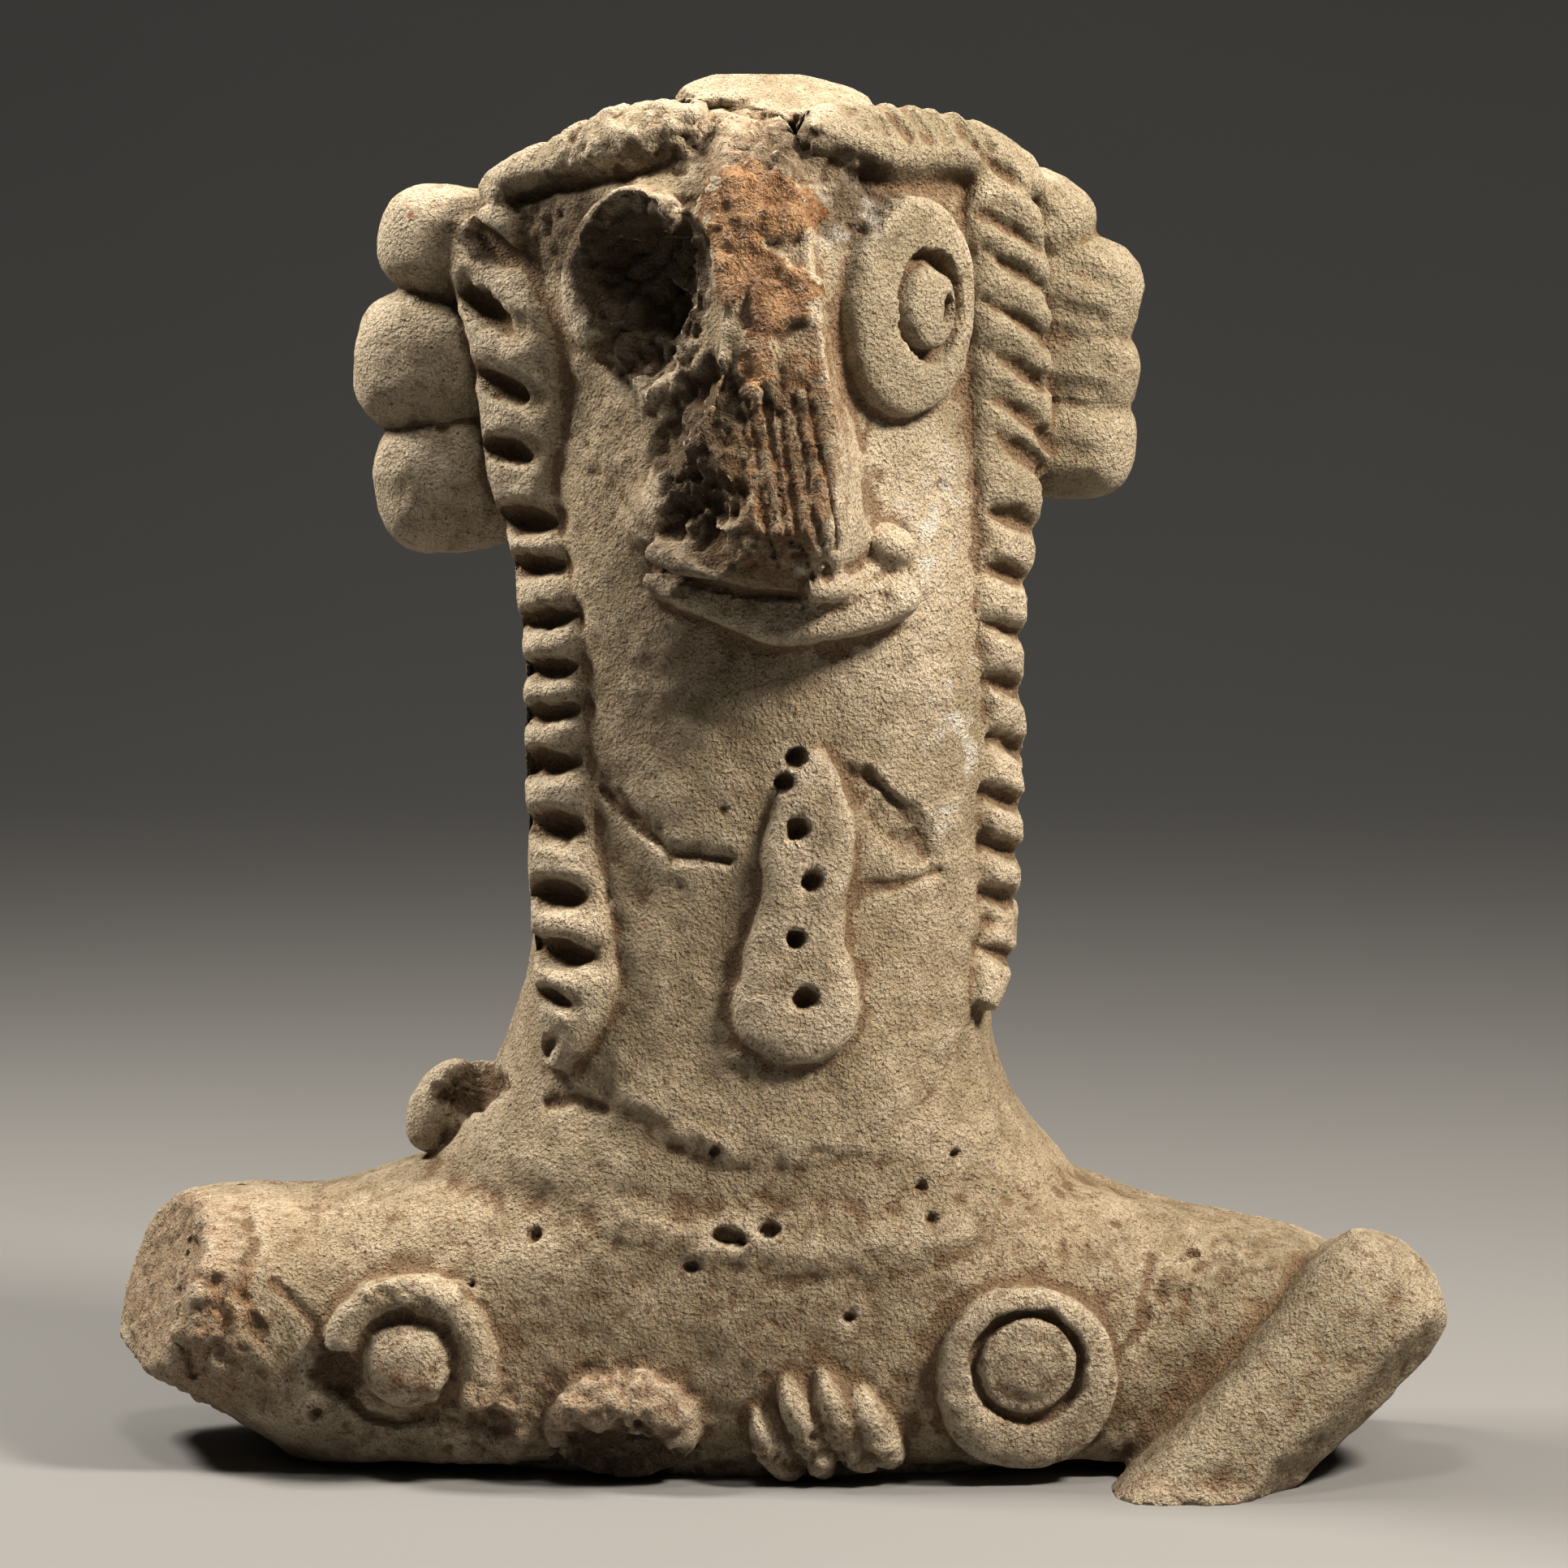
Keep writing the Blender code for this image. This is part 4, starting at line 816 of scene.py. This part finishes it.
def press_marks(skin):
    """Notches, grooves, rings and awl holes, as the maker pressed them.

    After its place, a mark has its turn, length, width, depth, bluntness, raggedness and push.
    """
    clay = skin.clay
    ahead = (0, -1, 0.25)
    skin.line(*LIP_FACE)
    skin.line(*MOUTH, ahead)
    for collar in COLLARS:
        skin.ledge(*collar)
    for x, z, tilt, length, width in LEFT_NOTCHES:
        push = (-0.45, -1, 0)
        for shift, long, wide, deep, blunt, ragged, lens in NOTCH_STROKES:
            skin.mark(x + shift, z, tilt, long * length, wide * width, deep * width, blunt, ragged,
                      push, lens)
    xs, zs, _ = np.array(RIGHT_TRESS)[::-1].T
    for z in RIGHT_GROOVES:
        x = np.interp(z, zs, xs)
        skin.mark(x, z, -22, 8, 2.8, 0.28)
        skin.mark(x + 0.3 * sin(3 * z), z, -20, 7.6, 1.35, 0.62, 0.9, 0.5, None, True)
    for z in RIGHT_NOTCHES:
        x, push = np.interp(z, zs, xs), (0.7, -0.7, 0)
        skin.mark(x, z, -12, 6, 2.4, 0.55, 1, 0.2, push)
        skin.mark(x, z, -12, 5.2, 1.5, 0.65, 0.8, 0.3, push, True)
    socket, out = clay.soft_seat(*SOCKET, EYE_DIAMETER / 4)
    for x, z, length, width, depth, blunt in SOCKET_HOLLOWS:
        skin.press(socket + Vector((x, 0, z)), out, (0.1, 0, 1), length * EYE_DIAMETER,
                   width * EYE_DIAMETER, depth, blunt)
    skin.press(socket, out, (1, 0, 0), 0, 1.6, 1.2)
    eye, out, lean = eye_seat(clay)
    hole = eye + sideways(out, lean, PUPIL_SHIFT + PUPIL_DIAMETER / 4.6)
    skin.press(hole, out, lean, 2, 1.2, 1.7)
    pupil = eye + sideways(out, lean, PUPIL_SHIFT)
    skin.ring_groove(pupil, out, PUPIL_DIAMETER, RING_GROOVE_WIDTH, PUPIL_ACROSS)
    breast, out = clay.soft_seat(*RIGHT_BREAST, BREAST_DIAMETER / 4)
    nipple = breast + Vector((0, 0, NIPPLE_RISE))
    skin.ring_groove(nipple, out, NIPPLE_DIAMETER, 0.75 * RING_GROOVE_WIDTH)
    skin.refresh()
    for x, z in AWL_HOLES:
        skin.mark(x, z, 35, AWL_DIAMETER, 0.85 * AWL_DIAMETER, 1.6, 0.6, 0.5)
    for x, z, turn, length in CURL_GROOVES:
        skin.mark(x, z, turn, length, 1.7, 0.55, 0.9)
    xs, zs, _ = np.array(RIGHT_BAND).T
    for i in range(7):
        x = 5 + 1.5 * i
        z = np.interp(x, xs, zs) + 0.9
        depth = 0.34 + 0.12 * sin(4.3 * i)
        skin.mark(x, z, -58, 5.4, 1.2, depth, 1, 0.3, (0.1, -1, 0.7))
    for x, z in BAND_DABS:
        skin.mark(x, z, 80, 3.4, 1.2, 0.3)
    skin.line(*BAND_EDGE, ahead)
    skin.line(*CROWN_EDGE, ahead)
    skin.mark(1.7, 94.6, 80, 2.8, 1.9, 3, 0.6, 0.4, ahead)
    skin.refresh()


def break_parts(skin):
    """Broken, chipped and worn places."""
    skin.scars(NOSE_BREAKS)
    for i in range(11):
        place = (-1.4 + 0.56 * i, 71.6 - 0.9 * (i % 3))
        turn, length = -76 - 3 * (i % 2), 15 - 3.5 * (i % 2)
        width = 0.46 + 0.12 * sin(5.3 * i)
        depth = 0.26 + 0.14 * sin(2.9 * i)
        skin.mark(*place, turn, length, width, depth, 1, 0.8)
    skin.scars(HEAD_BREAKS)
    skin.mark(2.1, 65, 20, 1.8, 1.4, 0.7)
    for crack in NECK_CRACKS:
        skin.line(*crack)
    skin.scars(CHEST_HOLES)
    for x, z, size in PITS:
        skin.mark(x, z, 20, 1.2 * size, size, 0.8, 0.7, 0.4)
    skin.scar(*LEFT_BREAST_GAP)
    skin.line(*LEFT_BREAST_CRACK)
    skin.scars(TRUNK_BREAKS)
    for crack in SHOULDER_CRACKS:
        skin.line(*crack)
    skin.refresh()
    low = np.clip((BREAK_EDGE_HEIGHT - skin.points[:, 2]) / BREAK_EDGE_HEIGHT, 0, 1)
    low *= skin.normals[:, 1] < 0.2
    skin.points[:, 1] += low * (0.7 * np.abs(noise(skin.points, 5, 31)) + 0.45 * skin.rag)
    skin.refresh()


def wear(skin):
    """Uneven hand-pressed clay, sandy grain and small pores."""
    points = skin.points
    front = np.clip(0.55 - 0.45 * skin.normals[:, 1], 0.25, 1)
    swell, sand = layers(points, SWELLS), layers(points, GRAIN)
    holes = PORE_DEPTH * pores(points, PORE_SPACING, PORE_SHARE, *PORE_RADII, 21)
    points += skin.normals * (swell + sand * (0.6 + 0.4 * front) - holes)[:, None]
    skin.refresh()


def lay_glue(skin):
    """Two torn patches of old glue on the ridge of the nose, with a drip below."""
    crumbs = np.clip((skin.points[:, 2] - 83) / 4, 0, 1)
    crust = crumbs * (0.25 * skin.rag + 0.35 * skin.grit)
    lift = skin.patches(PATCHES["glue"]) * (0.45 + 0.25 * skin.rag + crust)
    skin.points += skin.normals * lift[:, None]
    skin.refresh()


def thin_out(body):
    """Bring the skin down to the triangle budget."""
    body.data.calc_loop_triangles()
    cut = body.modifiers.new("thin", "DECIMATE")
    cut.ratio = TRIANGLES / len(body.data.loop_triangles)
    bake(body)


def stand_flat(body):
    """Cut the underside flat, where the idol broke off and now stands."""
    bm = bmesh.new()
    bm.from_mesh(body.data)
    everything = bm.verts[:] + bm.edges[:] + bm.faces[:]
    cut = bmesh.ops.bisect_plane(bm, geom=everything, plane_co=(0, 0, 0), plane_no=(0, 0, -1),
                                 clear_outer=True)
    rim = [item for item in cut["geom_cut"] if isinstance(item, bmesh.types.BMEdge)]
    bmesh.ops.holes_fill(bm, edges=rim, sides=0)
    bmesh.ops.triangulate(bm, faces=[face for face in bm.faces if len(face.verts) > 4])
    bmesh.ops.recalc_face_normals(bm, faces=bm.faces)
    bm.to_mesh(body.data)
    bm.free()


def hollows(skin, rounds):
    """How far each point lies below the mean of its neighbourhood, in millimetres."""
    count, mesh = len(skin.points), skin.body.data
    edges = np.empty(2 * len(mesh.edges), dtype=np.int64)
    mesh.edges.foreach_get("vertices", edges)
    ends = np.concatenate((edges[0::2], edges[1::2]))
    others = np.concatenate((edges[1::2], edges[0::2]))
    degree = np.maximum(np.bincount(ends, minlength=count), 1)
    mean = skin.points.copy()
    for _ in range(rounds):
        sums = [np.bincount(ends, mean[others, k], count) for k in range(3)]
        mean = np.stack([total / degree for total in sums], axis=1)
    return ((mean - skin.points) * skin.normals).sum(axis=1)


def store_shares(skin):
    """Keep on the points where soil, wear and painted highlight, soot and painted shade, and the
    rest are, for the paint to read.
    """
    near, far, height = hollows(skin, 4), hollows(skin, 24), skin.points[:, 2]
    shares = {name: skin.patches(rows) for name, rows in PATCHES.items()}
    shares["soil"] = (5 * np.clip(near - 0.02, 0, 1) + 1.4 * np.clip(far - 0.08, 0, 1)
                      + 0.2 * np.clip((28 - height) / 10, 0, 1))
    # Paler on ridges where the clay is worn, added to the painted highlight patch on the right
    # cheek
    shares["wear_and_highlight"] += 0.4 * np.clip(-near, 0, 1) / 0.12 + np.clip(-far - 0.08, 0, 1) / 0.6
    shares["broken"] = np.maximum(shares["broken"], 0.7 * (height < 1.6))
    for name, values in shares.items():
        stored = skin.body.data.attributes.new(name, "FLOAT", "POINT")
        stored.data.foreach_set("value", np.clip(values, 0, 1).astype(np.float32))


class Paint:
    """Short ways to wire a material's nodes."""

    def __init__(self, name):
        self.material = bpy.data.materials.new(name)
        self.material.use_nodes = True
        self.tree = self.material.node_tree
        self.shader = self.tree.nodes["Principled BSDF"]
        self.place = self.tree.nodes.new("ShaderNodeTexCoord").outputs["Object"]

    def wire(self, value, socket):
        """Link an output, or set a constant."""
        if isinstance(value, bpy.types.NodeSocket):
            self.tree.links.new(value, socket)
        else:
            socket.default_value = value

    def node(self, kind, **inputs):
        """A new node with its inputs linked or set."""
        made = self.tree.nodes.new("ShaderNode" + kind)
        for name, value in inputs.items():
            self.wire(value, made.inputs[name.replace("_", " ")])
        return made

    def noise(self, size, detail, rough):
        """Fractal noise from 0 to 1, with waves of a size in millimetres."""
        made = self.node("TexNoise", Vector=self.place, Scale=1000 / size, Detail=detail,
                         Roughness=rough)
        return made.outputs["Fac"]

    def cells(self, size):
        """Distance to the nearest of scattered points, in their spacing, and its random colour."""
        made = self.node("TexVoronoi", Vector=self.place, Scale=1000 / size)
        return made.outputs["Distance"], made.outputs["Color"]

    def share(self, name):
        """A share stored on the points."""
        made = self.node("Attribute")
        made.attribute_name = name
        return made.outputs["Fac"]

    def math(self, operation, one, two):
        """Arithmetic on two values."""
        made = self.node("Math")
        made.operation = operation
        self.wire(one, made.inputs[0])
        self.wire(two, made.inputs[1])
        return made.outputs[0]

    def step(self, value, low, high, first=0, last=1):
        """A soft step from first to last as a value goes from low to high."""
        made = self.node("MapRange", Value=value, From_Min=low, From_Max=high, To_Min=first,
                         To_Max=last)
        made.interpolation_type = "SMOOTHSTEP"
        return made.outputs["Result"]

    def mix(self, factor, one, two):
        """A blend of two colours."""
        made = self.node("Mix")
        made.data_type = "RGBA"
        for value, socket in ((factor, 0), (one, 6), (two, 7)):
            self.wire(value, made.inputs[socket])
        return made.outputs[2]

    def coat(self, colour, share, strength, tint):
        """A colour with a tint laid over a share of it."""
        return self.mix(self.math("MULTIPLY", share, strength), colour, tint)

    def torn(self, name, ragged, raggedness, low, high):
        """A stored share whose rim is torn by noise."""
        noisy = self.math("ADD", self.share(name), self.math("MULTIPLY", ragged, raggedness))
        return self.step(noisy, low, high)

    def flecked(self, name, ragged, low, high):
        """A stored share that noise breaks up into flecks."""
        return self.math("MULTIPLY", self.share(name), self.step(ragged, low, high))

    def specks(self, spacing, core, rim, rarity):
        """Small round specks at some of scattered points, core and rim as shares of the spacing."""
        reach, chance = self.cells(spacing)
        chosen = self.step(chance, rarity, rarity + 0.05)
        return self.math("MULTIPLY", self.step(reach, core, rim, 1, 0), chosen)

    def bump(self, height, distance, below=None):
        """Fine relief of a height in millimetres."""
        made = self.node("Bump", Strength=1, Distance=distance / 1000, Height=height)
        if below is not None:
            self.wire(below, made.inputs["Normal"])
        return made.outputs["Normal"]


def fired_clay():
    """Greenish-buff earthenware with soil in its hollows, soot, old glue and pale salts, with
    painted shade and a painted highlight in its colour.
    """
    paint = Paint("fired clay")
    broad, fine = paint.noise(11, 4, 0.6), paint.noise(2.2, 5, 0.65)
    ragged, sand = paint.noise(1.1, 5, 0.7), paint.noise(0.24, 2, 0.7)
    colour = paint.mix(paint.step(broad, 0.36, 0.66), DARK_BUFF, BUFF)
    colour = paint.mix(paint.step(fine, 0.38, 0.7), colour, PALE_BUFF)
    # Worn ridges, and a painted highlight on the right cheek, in paler clay
    colour = paint.coat(colour, paint.share("wear_and_highlight"), 0.68, WORN_AND_LIT_CLAY)
    # Painted shade: olive darkening on the right side of the head and on the arm
    colour = paint.coat(colour, paint.share("olive_shade"), 0.55, OLIVE_PAINTED_SHADE)
    colour = paint.mix(paint.step(ragged, 0.5, 0.64, 0, 0.45), colour, MOTTLE)
    earth = paint.mix(paint.noise(0.8, 4, 0.7), DARK_SOIL, PALE_SOIL)
    colour = paint.coat(colour, paint.torn("soil", ragged, 1.1, 0.7, 1.05), 0.85, earth)
    colour = paint.coat(colour, paint.flecked("broken", ragged, 0.3, 0.6), 0.7, RAW_CLAY)
    # Soot, and painted shade in the shaded places of the face's left side, the socket and under the
    # bands
    colour = paint.coat(colour, paint.torn("soot_and_shade", ragged, 0.9, 0.75, 1.45), 0.85, SOOT_AND_PAINTED_SHADE)
    colour = paint.coat(colour, paint.flecked("stain", ragged, 0.35, 0.65), 0.7, RUST)
    colour = paint.coat(colour, paint.flecked("pale", fine, 0.48, 0.62), 0.75, SALT_WHITE)
    colour = paint.mix(paint.step(sand, 0.28, 0.54, 0.42, 0), colour, DARK_SAND)
    colour = paint.mix(paint.step(sand, 0.6, 0.76, 0, 0.4), colour, PALE_SAND)
    colour = paint.coat(colour, paint.specks(0.8, 0.1, 0.2, 0.55), 0.75, GRIT_SPECK)
    colour = paint.coat(colour, paint.specks(6, 0.03, 0.06, 0.6), 0.7, RED_SPECK)
    film = paint.torn("glue", ragged, 0.7, 0.8, 1.1)
    resin = paint.mix(paint.step(fine, 0.35, 0.65), DARK_RESIN, PALE_RESIN)
    colour = paint.coat(colour, film, 0.88, resin)
    paint.wire(colour, paint.shader.inputs["Base Color"])
    paint.wire(paint.step(film, 0, 1, 0.9, 0.22), paint.shader.inputs["Roughness"])
    paint.shader.inputs["Specular IOR Level"].default_value = 0.28
    relief = paint.bump(paint.noise(0.6, 4, 0.75), 0.42)
    relief = paint.bump(paint.cells(0.3)[0], 0.13, relief)
    relief = paint.bump(sand, 0.26, relief)
    paint.wire(relief, paint.shader.inputs["Normal"])
    return paint.material


def pale_floor():
    """A plain pale floor under the idol, which sweeps up behind it."""
    profile = [(-FLOOR_REACH, 0), (FLOOR_BEND_START, 0)]
    for i in range(1, 25):
        angle = radians(90 * i / 24)
        back, rise = FLOOR_BEND * sin(angle), FLOOR_BEND - FLOOR_BEND * cos(angle)
        profile.append((FLOOR_BEND_START + back, rise))
    profile.append((FLOOR_BEND_START + FLOOR_BEND, WALL_TOP))
    corners = [(side, y, z) for y, z in profile for side in (-FLOOR_REACH, FLOOR_REACH)]
    faces = [(2 * i, 2 * i + 1, 2 * i + 3, 2 * i + 2) for i in range(len(profile) - 1)]
    mesh = bpy.data.meshes.new("floor")
    mesh.from_pydata(corners, [], faces)
    mesh.shade_smooth()
    floor = put("floor", mesh)
    paint = Paint("pale floor")
    tone = paint.mix(paint.noise(60, 2, 0.5), *FLOOR_TONES)
    paint.wire(tone, paint.shader.inputs["Base Color"])
    paint.shader.inputs["Roughness"].default_value = 0.85
    floor.data.materials.append(paint.material)


def lamp(name, place, size, power, tone):
    """A soft square light."""
    light = bpy.data.lights.new(name, "AREA")
    light.size, light.energy, light.color = size, power, tone
    item = put(name, light)
    item.location = place
    item.rotation_euler = (Vector(LAMP_AIM) - item.location).to_track_quat("-Z", "Y").to_euler()


def studio():
    """Soft light from the upper right, weaker light from the left, and a pale surround."""
    for row in LAMPS:
        lamp(*row)
    scene = bpy.context.scene
    world = scene.world = bpy.data.worlds.new("pale surround")
    world.use_nodes = True
    ground = world.node_tree.nodes["Background"]
    ground.inputs["Color"].default_value = SURROUND
    ground.inputs["Strength"].default_value = SURROUND_STRENGTH
    scene.view_settings.view_transform = "Standard"
    scene.view_settings.gamma = PRINT_GAMMA


def camera():
    """The photograph's view: from the front, a little above, through a long lens."""
    lens = bpy.data.cameras.new("camera")
    lens.lens, lens.sensor_width = FOCAL_LENGTH, FILM_WIDTH
    lens.clip_start = 0.01
    lift = radians(CAMERA_LIFT)
    target = Vector((AIM_RIGHT * PIXEL, -AIM_FRONT, 0))
    target.z = (AIM_UP * PIXEL - AIM_DROP - target.y * sin(lift)) / cos(lift)
    away = FOCAL_LENGTH / FILM_WIDTH * PHOTO_PIXELS * PIXEL
    item = put("camera", lens)
    item.location = target + Vector((0, -cos(lift), sin(lift))) * away
    item.rotation_euler = (target - item.location).to_track_quat("-Z", "Y").to_euler()
    bpy.context.scene.camera = item


def weathered_skin():
    """The bust's own surface, in metres, inside the solid's box."""
    core = build_core()
    clay = Clay(core)
    body = fuse([core] + lay_pieces(clay), FINE_GRAIN, 2)
    body.name = body.data.name = "clay_bust"
    skin = Skin(body, clay)
    press_marks(skin)
    break_parts(skin)
    wear(skin)
    lay_glue(skin)
    thin_out(body)
    stand_flat(body)
    finished = Skin(body, clay)
    store_shares(finished)
    points = finished.points / 1000
    write_mesh(body, np.clip(points, np.array(cad_low), np.array(cad_high)))
    body.data.materials.clear()
    body.data.materials.append(fired_clay())
    body.data.shade_smooth()
    return body


bust = weathered_skin()
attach(bust, "root")
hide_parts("bust")
pale_floor()
studio()
camera()
